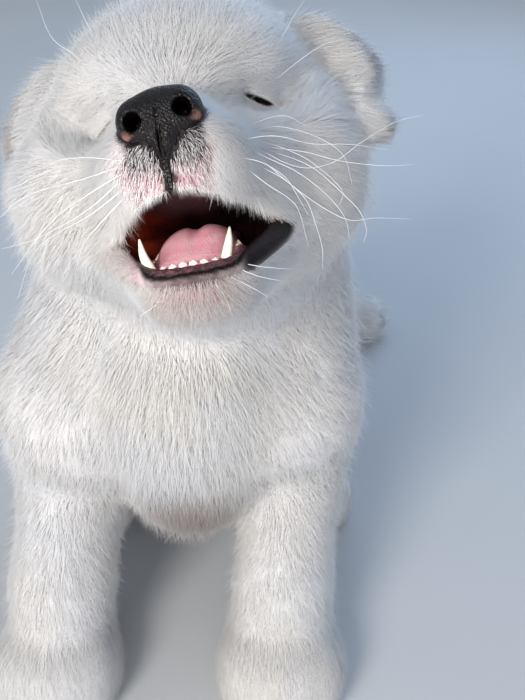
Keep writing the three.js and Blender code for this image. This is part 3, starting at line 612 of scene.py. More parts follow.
# Double coat: soft white guard hairs over wool. They scatter light among them, so the shade stays pale.
def white_double_coat(tree):
    tip = add(tree, "Attribute", {}, "Fac", attribute_name="along")
    # Painted shade greys each tuft a little towards its root.
    root = add(tree, "MapRange", {"Value": tip, "From Max": 0.6, "To Min": 0.3, "To Max": 0})
    shade = add(tree, "Attribute", {}, "Fac", attribute_name="shade")
    # The chin's brown stain, and brown painted shade under the chest.
    stain_and_shade = add(tree, "Attribute", {}, "Fac", attribute_name="stain_and_shade")
    tuft = add(tree, "MapRange", {"Value": shade, "To Max": 0.35})
    white = layered(
        tree, colour("FAFAFC"), (clouds(tree, 40), colour("FBF7F0")), (tuft, colour("EDEBEE")),
        (root, colour("E9E2DE")), (stain_and_shade, STAIN_AND_SHADE),
    )
    return {
        "Base Color": white, "Roughness": 0.6, "IOR": 1.55, "Specular IOR Level": 0.3,
        "Sheen Weight": 0.3, "Sheen Roughness": 0.5,
    }


# Skin: white wool over the body, mauve with a short down round the lips, black and moist at the edges of
# lips and lids. Inside the mouth it is wet, its dark red painted near black as the mouth's shade, with
# orange-red painted sunlight on a patch of the lining. Brown painted shade lies under the chest, and a
# brown stain on the chin. Down is finer than a pixel, so its bump is as coarse as shows.
def downy_skin(tree):
    share = {}
    for name in ("blush", "pigment", "shaded_lining", "stain_and_shade", "painted_sunlight"):
        share[name] = add(tree, "Attribute", {}, "Fac", attribute_name=name)
    wool_white = layered(tree, colour("F6F4F3"), (clouds(tree, 12), colour("EFEAE8")))
    mauve = layered(tree, colour("A97884"), (clouds(tree, 1.4, 0.42, 0.6), colour("744955")))
    black = layered(tree, colour("140E10"), (clouds(tree, 2), colour("241B1E")))
    # The mouth's dark red flesh, painted near black as the shade inside the mouth.
    dark = layered(tree, colour("1C0507"), (clouds(tree, 5), colour("060203")))
    base = layered(
        tree, wool_white, (share["stain_and_shade"], STAIN_AND_SHADE), (share["blush"], mauve), (share["pigment"], black),
        (share["shaded_lining"], dark), (share["painted_sunlight"], colour("DA5A38")),
    )
    wet = add(tree, "Math", {0: share["pigment"], 1: share["shaded_lining"]}, operation="MAXIMUM")
    dull = add(tree, "MapRange", {"Value": wet, "To Min": 0.8, "To Max": 0.36})
    down = add(tree, "Bump", {"Height": clouds(tree, 0.6), "Distance": 0.15 * MM})
    return {"Base Color": base, "Roughness": dull, "IOR": 1.4, "Specular IOR Level": 0.35, "Normal": down}


# Nose leather: moist black skin in small pebbles, with painted shade darker still inside the nostrils and
# the groove, and pinkish brown painted light where light falls on a nostril's outer wall.
def pebbled_nose_leather(tree):
    where = add(tree, "TexCoord", {}, "Object")
    pebble = add(tree, "TexVoronoi", {"Vector": where, "Scale": 1 / (0.8 * MM)}, "Distance")
    pebbled = add(tree, "Bump", {"Height": pebble, "Distance": -0.3 * MM})
    # Painted shade inside the nostrils and the groove.
    deep = add(tree, "Attribute", {}, "Fac", attribute_name="deep")
    # Painted light on the nostrils' outer walls.
    wing = add(tree, "Attribute", {}, "Fac", attribute_name="wing")
    black = layered(
        tree, colour("120F10"), (clouds(tree, 4), colour("1E191B")), (deep, colour("0C0505")),
        (wing, colour("A87A6C")),
    )
    dull = add(tree, "MapRange", {"Value": clouds(tree, 1.5), "To Min": 0.26, "To Max": 0.5})
    return {
        "Base Color": black, "Roughness": dull, "IOR": 1.4, "Specular IOR Level": 0.4,
        "Normal": pebbled,
    }


# Tongue: wet pink skin over soft muscle, velvety with papillae, darker towards its back with painted shade.
def wet_tongue(tree):
    deep = add(tree, "Attribute", {}, "Fac", attribute_name="deep")
    pink = layered(
        tree, colour("FFC4CE"), (clouds(tree, 5), colour("F9A9B9")), (deep, colour("D97F91")),
    )
    velvet = add(tree, "Bump", {"Height": clouds(tree, 0.7), "Distance": 0.1 * MM})
    return {
        "Base Color": pink, "Roughness": 0.42, "IOR": 1.4, "Coat Weight": 0.6, "Coat Roughness": 0.22,
        "Subsurface Weight": 0.3, "Subsurface Radius": (1.0, 0.35, 0.25), "Subsurface Scale": 2 * MM,
        "Normal": velvet,
    }


# Gum: wet, firm pink flesh, a little darker in blotches.
def wet_gum(tree):
    pink = layered(tree, colour("F0A3AC"), (clouds(tree, 3, 0.5, 0.62), colour("B86472")))
    soft = add(tree, "Bump", {"Height": clouds(tree, 1), "Distance": 0.12 * MM})
    return {
        "Base Color": pink, "Roughness": 0.32, "IOR": 1.4, "Coat Weight": 0.5, "Coat Roughness": 0.12,
        "Subsurface Weight": 0.25, "Subsurface Radius": (1.0, 0.3, 0.2), "Subsurface Scale": 1.5 * MM,
        "Normal": soft,
    }


# Milk teeth: smooth ivory enamel.
def milk_tooth_enamel(tree):
    ivory = layered(tree, colour("FFFBEF"), (clouds(tree, 2), colour("F2E8D0")))
    return {
        "Base Color": ivory, "Roughness": 0.2, "IOR": 1.62, "Subsurface Weight": 0.2,
        "Subsurface Radius": (1.0, 0.9, 0.7), "Subsurface Scale": 0.8 * MM,
    }


# Eye: a wet cornea over a dark brown iris and a black pupil.
def wet_dark_eye(tree):
    pupil = add(tree, "Attribute", {}, "Fac", attribute_name="pupil")
    brown = layered(
        tree, colour("24140D"), (clouds(tree, 1.5), colour("38220F")), (pupil, colour("050404")),
    )
    return {"Base Color": brown, "Roughness": 0.06, "IOR": 1.38, "Coat Weight": 1.0, "Coat Roughness": 0.02}


# Claw: pale grey horn in fine lengthwise layers, worn smooth.
def claw_horn(tree):
    layers = clouds(tree, 1.2, stretch=(1, 0.2, 1))
    grey = layered(tree, colour("6E625C"), (layers, colour("9C9088")))
    return {
        "Base Color": grey, "Roughness": 0.34, "IOR": 1.55,
        "Normal": add(tree, "Bump", {"Height": layers, "Distance": 0.05 * MM}),
    }


# Sole pad: dry grey-black skin in coarse grains.
def grained_pad(tree):
    grains = clouds(tree, 0.9)
    grey = layered(tree, colour("2C2628"), (clouds(tree, 4), colour("4A3F41")))
    return {
        "Base Color": grey, "Roughness": 0.7, "IOR": 1.45,
        "Normal": add(tree, "Bump", {"Height": grains, "Distance": 0.2 * MM}),
    }


# Whisker: one stiff clear white hair.
def whisker_hair(tree):
    white = layered(tree, colour("FFFFFF"), (clouds(tree, 8), colour("EFEDF2")))
    return {"Base Color": white, "Roughness": 0.35, "IOR": 1.55}


# Floor: a matt pale sheet of studio paper.
def matt_studio_paper(tree):
    pale = layered(tree, colour("C2C5C8"), (clouds(tree, 300), colour("C8CACC")))
    return {"Base Color": pale, "Roughness": 0.9, "Specular IOR Level": 0.2}


FINISHES = (
    white_double_coat, downy_skin, pebbled_nose_leather, wet_tongue, wet_gum, milk_tooth_enamel,
    wet_dark_eye, claw_horn, grained_pad, whisker_hair, matt_studio_paper,
)
COAT, SKIN, LEATHER, TONGUE, GUM_FLESH, ENAMEL, EYE, HORN, PAD, WHISKER, PAPER = [
    finish(dress.__name__, dress) for dress in FINISHES
]


# Markings of the face, which skin and coat share, each a number from 0 to 1 at a point of the head's frame:
# mauve skin under thin hair, black skin, brown stain on the chin and lip, and the mouth's left corner.
def markings(h):
    x, y, z = h[:, 0], h[:, 1], h[:, 2]
    upper = to_curve(h, UPPER_LIP) - UPPER_LIP_THICK + 3 * smoothstep(-np.abs(x + 1), -31, -26)
    lower = to_curve(h, LOWER_LIP) - LOWER_LIP_THICK + 2 * smoothstep(-x, 14, 20)
    from_rim = lower_rim(h)
    off, along = lid_slit(h)
    beside = np.maximum(np.abs(off) - lid_opening(x, along), 0)
    past_lid = np.hypot(beside, np.maximum(np.abs(along) - SLIT_LONG, 0))

    rim = fade(from_rim, 0.4, 0.9)
    corner = smoothstep(x, 11, 17) * fade(from_rim, 1.9, 2.8) * smoothstep(-z, 42, 44)
    lips = fade(np.minimum(upper, lower), 0.3, 1.5) * (1 - 0.3 * rim * (x < 16))
    lids = np.where(x > 0, 1, 0.75) * (z > -20) * (np.abs(x) < 42) * (y < 12) * fade(past_lid, 0.1, 0.8)
    under_nose = fade(-z, 32, 36.5) * smoothstep(-y, 40, 46) * smoothstep(-z, 14, 20)
    under_nose = under_nose * smoothstep(13 - np.abs(x), 0, 3)
    pigment = np.maximum.reduce([lips, lids, corner, fade(nose_hull(h), 0.4, 2.2), under_nose])
    pigment = np.clip(pigment, 0, 1) * (z < 14) * (np.abs(x) < 45)

    lip_pads = smoothstep(-y, 26, 36) * smoothstep(-z, 27, 31) * smoothstep(46 + z, 0, 4)
    lip_pads = lip_pads * smoothstep(16.5 - np.abs(x + 1.5) + 0.3 * (z + 34), 0, 5)
    chin = np.exp(-(((x + 1) / 15) ** 4) - ((z + 66) / 7) ** 2) * smoothstep(-y, 14, 24)
    sides = 0.35 * smoothstep(-y, 8, 28) * smoothstep(-z, 12, 20)
    right_lip = 0.6 * smoothstep(-x, 13, 18) * fade(np.abs(lower - 2), 0.5, 2)
    blush = np.clip(np.maximum.reduce([lip_pads, 0.6 * chin, sides, right_lip, rim]), 0, 1)
    return blush, pigment, np.maximum(chin, 0.9 * right_lip), corner


# Painted shade under the chest, between the forelegs.
CHEST_SHADE = ((-3, 10, 96), (26, 30, 34))  # its middle and its radii
# Where sunlight is painted orange-red on the mouth's lining.
MOUTH_SUN = ((-20, 3, -39), (7, 12, 6))  # where sun falls on the mouth's lining


# Brown painted shade under the chest, between the forelegs, and the brown stain on the chin.
def stained_and_shaded(p, chin):
    chest = np.exp(-(length((p - CHEST_SHADE[0]) / CHEST_SHADE[1]) ** 4))
    return np.clip(chest + 0.7 * chin, 0, 1)


def mark_skin(made, points):
    h = to_head(points)
    blush, pigment, chin, corner = markings(h)
    # The lining inside the mouth, with the mouth's left corner, gets painted shade.
    shaded_lining = fade(mouth(h), 0.4, 1.4) * (h[:, 1] < 45) * smoothstep(lower_rim(h), 0.2, 0.7)
    shaded_lining = np.maximum(shaded_lining, corner)
    # Orange-red painted sunlight on a patch of the lining.
    sunlit = bell(length((h - MOUTH_SUN[0]) / MOUTH_SUN[1]), 1)
    mark(made, "blush", blush)
    mark(made, "pigment", pigment)
    mark(made, "shaded_lining", shaded_lining)
    mark(made, "painted_sunlight", 0.8 * shaded_lining * sunlit)
    # The skin gets the chin's stain and the painted shade under the chest.
    mark(made, "stain_and_shade", stained_and_shaded(points, chin))


# The skin, in fine steps over the face, the toes and the ears, and coarser ones over the body.
SKIN_STEPS = (
    steps((-118, -60, 2.2), (-60, -30, 1.25), (-30, 34, 0.95), (34, 62, 1.25), (62, 118, 2.2)),
    steps((-60, -15, 1.25), (-15, 38, 0.95), (38, 76, 1.25), (76, 300, 3)),
    steps((-4, 30, 1.7), (30, 196, 3), (196, 224, 1.25), (224, 300, 0.95), (300, 340, 1.25)),
)
skin_points, skin_quads = surface(skin_field, SKIN_STEPS)
skin = piece("skin", skin_points, skin_quads, SKIN, "short_coat")
FLESH = [
    "head", "muzzle", "lower_jaw", "neck", "torso", "tail", "ear_left", "ear_right",
    "foreleg_left", "foreleg_right", "forepaw_left", "forepaw_right",
    "hindleg_left", "hindleg_right", "hindpaw_left", "hindpaw_right",
]
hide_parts(*FLESH)
mark_skin(skin, skin_points)


# A piece meshed on even steps of the head's own frame, inside a box.
def head_piece(name, field, low, high, step, material, slot):
    points, quads = surface(field, [np.arange(a, b, step) for a, b in zip(low, high)])
    return piece(name, from_head(points), quads, material, slot), points


# The eyelids: nearly closed, the left one on a dark lens of eye and the right one on a fine line.
def lid_field(h):
    return np.maximum(fine_skin(from_head(h)) - 0.15, from_slit(h) - LID_REACH)


# An eyeball with its cornea, which looks a little outwards and down.
GAZE_OUT = 1.04
GAZE_DOWN = -2
CORNEA_RADIUS = 6.3


def eyeball(x):
    def field(h):
        ball = length(h - (x, *LEFT_EYE[1:])) - EYE_RADIUS
        cornea = length(h - (x * GAZE_OUT, EYE_BACK - 3, GAZE_DOWN)) - CORNEA_RADIUS
        return blend(ball, cornea, 1)

    return field


lid_corners = []
for s, side in ((1, "left"), (-1, "right")):
    x, z = s * SLIT_MIDDLE[0], SLIT_MIDDLE[1]
    low, high = (x - 13, -13, z - 13), (x + 13, 13, z + 13)
    lids, points = head_piece("eyelids_" + side, lid_field, low, high, 0.4, SKIN, "short_coat")
    quads = np.array([list(f.vertices) for f in lids.data.polygons])
    middle = points[quads].mean(1)
    off_ball = length(mirrored(middle) - LEFT_EYE) - EYE_RADIUS
    outer = (from_slit(middle) < LID_REACH - 1) & (off_ball > 0.6)
    lid_corners.append(from_head(points[quads[outer]]))
    mark_skin(lids, from_head(points))
    centre = s * EYE_APART
    low, high = (centre - 10.5, -2, -11.5), (centre + 10.5, 19, 9.5)
    eye, points = head_piece("eyeball_" + side, eyeball(centre), low, high, 0.8, EYE, "eyes")
    off_gaze = np.hypot(points[:, 0] - GAZE_OUT * centre, points[:, 2] - GAZE_DOWN)
    mark(eye, "pupil", fade(off_gaze, 2, 2.6) * (points[:, 1] < EYE_BACK))
    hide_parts("eye_" + side)

# The nose: its leather, with painted shade inside the nostrils and the groove, and painted light on the
# nostrils' outer walls.
low, high = (-15, -62, -43), (15, -33, -8)
nose, points = head_piece("nose_pad", nose_field, low, high, 0.42, LEATHER, "nose_leather")
half = mirrored(to_nose(points))
inside = fade(nostril(half), 0.05, 0.7)
outer_wall = smoothstep(0.65 * (half[:, 0] - 7.4) - 0.75 * (half[:, 2] + 22.6), 0.8, 2.8)
# Painted shade deep in the nostrils and along the groove.
deep = np.maximum(inside * smoothstep(points[:, 1], -56, -52), fade(groove(points), 0.2, 0.7))
mark(nose, "deep", deep)
# Painted light on each nostril's outer wall.
mark(nose, "wing", inside * outer_wall)
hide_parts("nose")


# The tongue lies on the floor of the mouth, flat behind the teeth and in two humps at the back.
def tongue_field(h):
    x, y, z = h[:, 0] - JAW_MIDDLE, h[:, 1], h[:, 2]
    wide = 11.2 + 1.5 * smoothstep(y, -20, 0)
    across = np.clip(np.abs(x) / wide, 0, 1)
    rise = 1.6 + 7.6 * smoothstep(y, -24, 3) - 0.25 * np.maximum(y - 6, 0)
    front = np.sqrt(np.clip((y + 24.5) / 7, 0, 1))
    furrow = 1.5 * bell(x, 2.3) * smoothstep(y, -20, 2)
    top = jaw_floor(y) + rise * front * np.sqrt(1 - across**2.4 * 0.92) - furrow
    flat = np.maximum(z - top, jaw_floor(y) - 2.2 - z) * 0.75
    side = np.hypot(x / wide, np.minimum(y + 12, 0) / 12.5) * wide - wide
    return np.maximum(np.maximum(flat, side), y - 24)


low, high = (-17, -28, -66), (15, 26, -34)
tongue, points = head_piece("tongue_flesh", tongue_field, low, high, 0.7, TONGUE, "tongue")
# Painted shade darkens the tongue towards the back of the mouth.
mark(tongue, "deep", smoothstep(points[:, 1], -2, 14))
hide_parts("tongue")


# The gum: a ridge round the jaw that carries the teeth, and the soft floor between it and the tongue.
def gum_field(h):
    ridge = to_curve(h, GUM) - 2.6
    level = np.abs(h[:, 2] - jaw_floor(h[:, 1]) + 0.2) - 1.0
    inner = np.hypot((h[:, 0] - JAW_MIDDLE) / 11.5, np.minimum(h[:, 1] + 4, 0) / 22) * 11.5 - 11.5
    return blend(ridge, np.maximum(np.maximum(level, inner), h[:, 1] - 10), 2.5)


head_piece("lower_gum", gum_field, (-20, -32, -66), (18, 14, -40), 0.7, GUM_FLESH, "teeth")


# A closed tapering tube along a smooth curve, for a tooth, a claw or a whisker, with its ends drawn out to
# points by their own radii.
def tube(points, radii, rings, sides):
    t = np.linspace(0, 1, rings)
    line = curve(np.array(points, float), t)
    along = unit(np.gradient(line, axis=0))
    across = unit(np.cross(along, [0.31, 0.2, 0.93]))
    up = np.cross(across, along)
    r = np.interp(t, np.linspace(0, 1, len(radii)), radii)[:, None, None]
    turn = np.linspace(0, 2 * math.pi, sides, endpoint=False)[:, None]
    ring = line[:, None] + r * (across[:, None] * np.cos(turn) + up[:, None] * np.sin(turn))
    vertices = np.vstack([ring.reshape(-1, 3), line[:1] - along[:1] * r[0], line[-1:] + along[-1:] * r[-1]])
    first, last = rings * sides, rings * sides + 1
    faces = []
    for i in range(sides):
        j = (i + 1) % sides
        for k in range(rings - 1):
            a, b = k * sides, (k + 1) * sides
            faces += [[a + i, b + j, a + j], [a + i, b + i, b + j]]
        end = (rings - 1) * sides
        faces += [[first, i, j], [last, end + j, end + i]]
    return vertices, np.array(faces)


# One piece from many small closed shapes.
def bundle(name, shapes, material, slot):
    points, faces, total = [], [], 0
    for vertices, triangles in shapes:
        points.append(vertices)
        faces.append(triangles + total)
        total += len(vertices)
    return piece(name, np.vstack(points), np.vstack(faces), material, slot)


# Milk teeth: two long curved canines, six small incisors between them, and premolars behind.
teeth = []
CANINES = (
    ((8.6, -23, -57.5), (10.4, -23.6, -52), (11.4, -22.4, -47)),
    ((-13.2, -23, -57.5), (-15.2, -23.6, -51.5), (-16, -22.2, -45.8)),
)
for canine in CANINES:
    teeth.append(tube([from_head(p) for p in canine], (1.8, 1.55, 1.05, 0.35), 12, 14))
for i in range(6):
    x = (i - 2.5) * 3.1
    root = np.array([x + JAW_MIDDLE, -27.2 + 0.035 * x * x, -58.5])
    crown = (1.2, 1.25, 1.25, 1.25, 1.25, 1.2, 1.0, 0.3)
    vertices, triangles = tube([[0, 0, 0], [0, 0, 1.3], [0.03 * x, -0.3, 2.6]], crown, 15, 12)
    teeth.append((from_head(root + vertices * [1.1, 0.8, 1]), triangles))
for s in (1, -1):
    for y, tall in ((-8, 1.2), (-3, 1.5), (2, 1.8)):
        root = np.array([s * 13.2 + JAW_MIDDLE, y, jaw_floor(y) - 0.3])
        line = [from_head(root + [0, 0, tall * t]) for t in (0, 0.6, 1.4)]
        teeth.append(tube(line, (1.6, 1.3, 0.35), 6, 12))
lower_teeth = bundle("milk_teeth", teeth, ENAMEL, "teeth")
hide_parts("lower_teeth")

# Whiskers, from their roots on the lip pad, brow and chin to their tips, in the head's frame.
WHISKERS = [
    # lip pad, left
    [(21, -24, -18.5), (28.5, -21.5, -16), (34, -19.5, -16), (38.5, -17.5, -19)],
    [(23, -22, -19), (30.5, -19.5, -18.5), (38, -16, -20.5), (45, -13, -24.5), (49, -10.5, -29),
     (50, -7.5, -37)],
    [(20.5, -39, -27), (26.5, -37, -26.5), (31.5, -35, -27), (39.5, -31.5, -29.5),
     (50, -28, -30.5), (61.5, -23.5, -33)],
    [(24.5, -24.5, -23.5), (30, -22, -25.5), (37, -19, -29.5), (42.5, -16, -34.5),
     (46.5, -13, -40), (45, -11.5, -43.5)],
    [(24, -28, -27), (32, -24, -32), (38.5, -21.5, -33.5), (46, -19, -32), (54.5, -16.5, -27),
     (66, -12.5, -21.5), (75.5, -9.5, -20)],
    [(25.5, -23.5, -25), (37, -19, -27.5), (47.5, -14.5, -31), (60, -10, -33.5), (70, -6.5, -34)],
    [(23, -32.5, -29), (28, -30, -32), (34.5, -27, -36), (41.5, -23, -43), (45.5, -19.5, -49.5),
     (46, -17.5, -55.5)],
    [(19.5, -40.5, -32.5), (25, -38.5, -34.5), (30.5, -35.5, -39), (33, -33, -44.5), (35, -30.5, -49.5)],
    [(20.5, -34.5, -34.5), (25, -32, -39), (30, -29, -43), (32.5, -27, -47), (33.5, -23, -57)],
    [(23.5, -28, -32), (30, -24.5, -36.5), (35, -21.5, -42.5), (36.5, -18.5, -48.5),
     (37.5, -15.5, -56.5), (36.5, -13.5, -62.5)],
    [(25.5, -22.5, -25.5), (38, -17, -31.5), (47, -11.5, -41), (51, -8.5, -46.5), (52, -6.5, -52),
     (50.5, -5, -55)],
    [(24, -28.5, -30), (35, -22, -41.5), (46, -16.5, -49.5), (55, -13.5, -50), (66, -9.5, -51.5)],
    # lip pad, right
    [(-13.5, -47, -33), (-22, -45, -35.5), (-33.5, -42, -39.5), (-41.5, -39.5, -44.5), (-51.5, -36, -52.5)],
    [(-15, -44.5, -34.5), (-26.5, -41.5, -40), (-42, -38, -44), (-53.5, -35.5, -44.5)],
    [(-13.5, -47.5, -31), (-25.5, -45.5, -32), (-37.5, -43, -32), (-46, -41, -33.5), (-50.5, -40, -36.5)],
    [(-15, -42, -36), (-25.5, -39.5, -40.5), (-37, -36.5, -43.5), (-45, -34.5, -47.5),
     (-52.5, -30.5, -58.5)],
    [(-15.5, -39, -37.5), (-23.5, -36.5, -42.5), (-30, -34.5, -47.5), (-34.5, -31.5, -55)],
    [(-12.5, -49, -30), (-21, -47.5, -27), (-29.5, -46, -25.5), (-36.5, -45, -26.5)],
    # brows
    [(-20, -10.5, 3), (-27.5, -8.5, 18), (-37.5, -6.5, 29), (-41.5, -4.5, 44)],
    [(-16, -11.5, 4), (-20.5, -10, 17.5), (-25, -8, 30.5), (-28, -6.5, 40.5)],
    [(25.5, -6, 1), (34.5, -2.5, 14), (41.5, 0, 24), (45.5, 1.5, 29)],
    [(28.5, -3.5, 0.5), (41, 0.5, 9), (50, 3.5, 14), (56.5, 6, 15)],
    # chin
    [(11.5, -31, -60.5), (18, -28, -64), (24, -25.5, -66)],
    [(8.5, -31.5, -62), (15, -28, -66.5), (19.5, -26, -70)],
    [(13, -30.5, -59.5), (20, -27.5, -61.5), (27.5, -24.5, -63)],
    [(5, -31, -63.5), (7.5, -28.5, -68.5), (8.5, -26.5, -73.5)],
    [(-9, -28.5, -63.5), (-13.5, -26.5, -67), (-18.5, -25.5, -69)],
]
whiskers = [tube([from_head(p) for p in line], (0.13, 0.12, 0.09, 0.04), 18, 5) for line in WHISKERS]
bundle("whiskers", whiskers, WHISKER, "coat")

# Claws: short blunt curved horns at the toes' tips.
claws = []
for _, x, _, tips, _ in FEET:
    for across, behind in TOES:
        toe, tip = x + across * TOE_APART, tips + behind
        line = [(toe, tip + 3, 9), (toe + across * 0.4, tip - 1.2, 8), (toe + across * 0.7, tip - 4, 4.6)]
        claws.append(tube(line, (1.5, 1.3, 0.5), 10, 10))
bundle("claws", claws, HORN, "nose_leather")


# Pads: a small cushion under each toe and a broad one behind them, flat on the floor.
def pad_field(p):
    d = np.full(len(p), 1e3)
    for _, x, _, tips, _ in FEET:
        cushions = [ellipsoid([x, tips + 30, 4], [11, 8, 4.5])]
        for across, behind in TOES:
            toe = x + across * TOE_APART * 0.88
            cushions.append(ellipsoid([toe, tips + 10 + behind, 4], [4.4, 6, 4.5]))
        for cushion in cushions:
            d = blend(d, cushion(p), 1)
    return np.maximum(d, -p[:, 2])


PAD_STEPS = np.arange(-100, 76, 1.2), np.arange(-40, 130, 1.2), np.arange(-1.2, 10, 1.0)
piece("sole_pads", *surface(pad_field, PAD_STEPS), PAD, "nose_leather")


# The coat's pieces: how many tufts each has, and how wide they are against the common width.
TUFTS = {
    "face": (49500, 0.8), "crown": (42000, 0.75), "cheek_left": (18000, 0.75), "cheek_right": (18000, 0.75),
    "throat": (8500, 0.8), "ear_left": (13000, 0.7), "ear_right": (13000, 0.7), "neck": (38000, 0.8),
    "chest": (38000, 0.8), "back": (20000, 1.1), "rump": (15000, 1.2), "foreleg_left": (19000, 0.8),
    "foreleg_right": (19000, 0.8), "hindleg_left": (8500, 1.1), "hindleg_right": (8500, 1.1),
    "forepaw_left": (12500, 0.75), "forepaw_right": (12500, 0.75), "hindpaw_left": (5500, 0.9),
    "hindpaw_right": (5500, 0.9), "tail": (8500, 1.1),
}
FULL = (0.84, 1.03)  # how much of the coat's depth a tuft's tip stands off the flesh
STRAY = 0.16  # share of the tufts that stand out further
STRAY_FULL = (1.05, 1.5)
SWIRL = 0.256  # how far a tuft turns from the lie of the coat, in radians
ROLL = 0.35  # how far it turns about its own line
FLATNESS = 0.4  # its height against its width
ROUNDNESS = 0.2  # how much its own roundness shows in its shading, against the body's
THICKNESS = (0.7, 1.25)  # its width against the common one
STRAY_THICKNESS = 0.65
CLUMP_AREA = 70  # tufts that lean together into one lock
CLUMPING = 0.3  # how far they lean
FLOOR_GAP = 0.9  # no tuft comes closer to the floor
PATCH = 0.003  # side of a tuft's patch on the unwrapped skin
# A tuft's corners are three round its root and its tip. These are its faces by their numbers, and where
# each is along it and on its patch.
SPIKE = np.array([[0, 1, 2], [0, 3, 1], [1, 3, 2], [2, 3, 0]])
SPIKE_ALONG = np.array([0, 0, 0, 1])
SPIKE_PATCH = np.array([[0, 0], [0.5, 0], [1, 0], [0.5, 1]]) * PATCH


def tuft_length(coat):
    return 3 + coat


def tuft_width(coat):
    return 0.2 + 0.017 * coat


# Down on the dark and mauve skin is this much shorter and finer than the rest.
def downy(h):
    blush, pigment = markings(h)[:2]
    return 1 - 0.4 * np.maximum(blush, pigment)


# The way out of the wool at each point, how far out of it the point is, and the coat's depth there.
def outward(p, h=0.6):
    corners = np.array([[1, -1, -1], [-1, -1, 1], [-1, 1, -1], [1, 1, 1]], float)
    felt = [feel(p + h * c, lying=False) for c in corners]
    level = np.stack([d - wool(coat) for d, coat in felt], 1)
    slope = level @ corners / (4 * h)
    steep = np.maximum(length(slope), 0.5)
    return unit(slope), level.mean(1) / steep, np.mean([coat for _, coat in felt], 0)


def turn_about(v, axis, angle):
    c, s = np.cos(angle)[:, None], np.sin(angle)[:, None]
    return v * c + np.cross(axis, v) * s + axis * dot(axis, v)[:, None] * (1 - c)


# Each tuft is pulled towards the tip of the tuft in the middle of its lock.
def lean_together(roots, tips, pull):
    clumps = np.arange(0, len(roots), CLUMP_AREA)
    tree = KDTree(len(clumps))
    for i, c in enumerate(clumps):
        tree.insert(roots[c], i)
    tree.balance()
    own = clumps[[tree.find(r)[1] for r in roots]]
    meet = tips[own] + (roots - roots[own]) * 0.25
    return tips + (meet - tips) * pull[:, None]


# Grows straight tufts from roots on the skin along the lie of the coat, and leans them together into locks.
# Gives their roots and tips, the ways out of the coat there, its depth, and which tufts are strays.
def comb(roots):
    count = len(roots)
    out, level, coat = outward(roots)
    above = np.clip(level, -1, 3)
    full = random.uniform(*FULL, count)
    stray = random.random(count) < STRAY
    full = np.where(stray, random.uniform(*STRAY_FULL, count), full)
    h = to_head(roots)
    edge = to_curve(h, UPPER_LIP) - UPPER_LIP_THICK
    long = tuft_length(coat) * random.uniform(0.75, 1.1, count) * downy(h) * (1 + bell(edge, 3))
    long = np.minimum(long, 0.5 + 0.65 * slit_gap(h) + 9 * (h[:, 2] < -14))
    swirl = random.normal(0, SWIRL, count)
    # Hair on the upper lip's edge hangs over the mouth, and rises a little before it does.
    at_lip = (h[:, 2] < -24) & (h[:, 1] < 0)
    hanging = np.where((edge < 3.5) & at_lip, 0.2, 4)
    rising = 0.4 * bell(edge - 2.5, 2) * at_lip
    start = roots - 0.5 * out
    lie = feel(start)[2]
    way = turn_about(unit(lie - out * dot(lie, out)[:, None]), out, swirl)
    tip = start + unit(way + rising[:, None] * out) * long[:, None]
    # The tip is lifted until it is as far out as the coat is deep, and the middle is out of the wool.
    for _ in range(2):
        tip_out, level, here = outward(tip)
        free = np.maximum(here * full - wool(here) - above, 0.5)
        tip = tip + tip_out * np.clip(above + free - level, -hanging, 4)[:, None]
    sunk = 0.5 - outward((start + tip) / 2)[1]
    tip = tip + tip_out * np.clip(2 * sunk, 0, 4)[:, None]
    tip = lean_together(roots, tip, np.where(stray, 0.05, CLUMPING * np.clip(coat / 12, 0.1, 1)))
    ends = np.stack([start, tip], 1)
    ends[..., 2] = np.maximum(ends[..., 2], FLOOR_GAP)
    return ends, np.stack([out, tip_out], 1), coat, stray


# Where each root is on an unwrap of the skin's own shape: its angle round the piece's long axis and its
# height along it, both spread evenly from 0 to 1.
def unwrapped(roots):
    centred = roots - roots.mean(0)
    axes = np.linalg.svd(centred, full_matrices=False)[2]
    x, y, z = (centred @ axes[i] for i in (1, 2, 0))
    spread = np.linspace(0, 1 - PATCH, len(roots))
    places = np.zeros((len(roots), 2))
    for m, value in enumerate((np.arctan2(y, x), z)):
        places[np.argsort(value), m] = spread
    return places


# One piece of the coat: closed spikes, each with a flat base and a low ridge up its middle.
def coat_piece(name, ends, outs, coat, stray, width):
    root, tip = ends[:, 0], ends[:, 1]
    chin = markings(to_head(root))[2]
    count = len(root)
    thick = width * tuft_width(coat) * random.uniform(*THICKNESS, count)
    thick = thick * np.where(stray, STRAY_THICKNESS, 1) * downy(to_head(root))
    half = (thick / 2)[:, None]
    along = unit(tip - root)
    across = turn_about(unit(np.cross(along, outs[:, 0])), along, random.normal(0, ROLL, count))
    up = np.cross(across, along)
    points = np.stack([root + across * half, root + up * half * 2 * FLATNESS, root - across * half, tip], 1)
    normals = [unit(side * ROUNDNESS + outs[:, 0]) for side in (across, up, -across)] + [outs[:, 1]]
    faces = (SPIKE + 4 * np.arange(count)[:, None, None]).reshape(-1, 3)
    made = piece("coat_" + name, points.reshape(-1, 3), faces, COAT, "coat")
    shading = made.data.attributes.new("custom_normal", "FLOAT_VECTOR", "POINT")
    shading.data.foreach_set("vector", np.stack(normals, 1).astype(np.float32).ravel())
    mark(made, "along", np.tile(SPIKE_ALONG, count))
    mark(made, "shade", np.repeat(random.random(count), 4))
    # Tufts get the chin's stain and the painted shade under the chest, a little less at their tips.
    mark(made, "stain_and_shade", (stained_and_shaded(root, chin)[:, None] * (1 - 0.3 * SPIKE_ALONG)).ravel())
    uv = (unwrapped(root)[:, None] + SPIKE_PATCH).reshape(-1, 2)[faces.ravel()]
    made.data.uv_layers.new(name="OFBake").data.foreach_set("uv", uv.astype(np.float32).ravel())


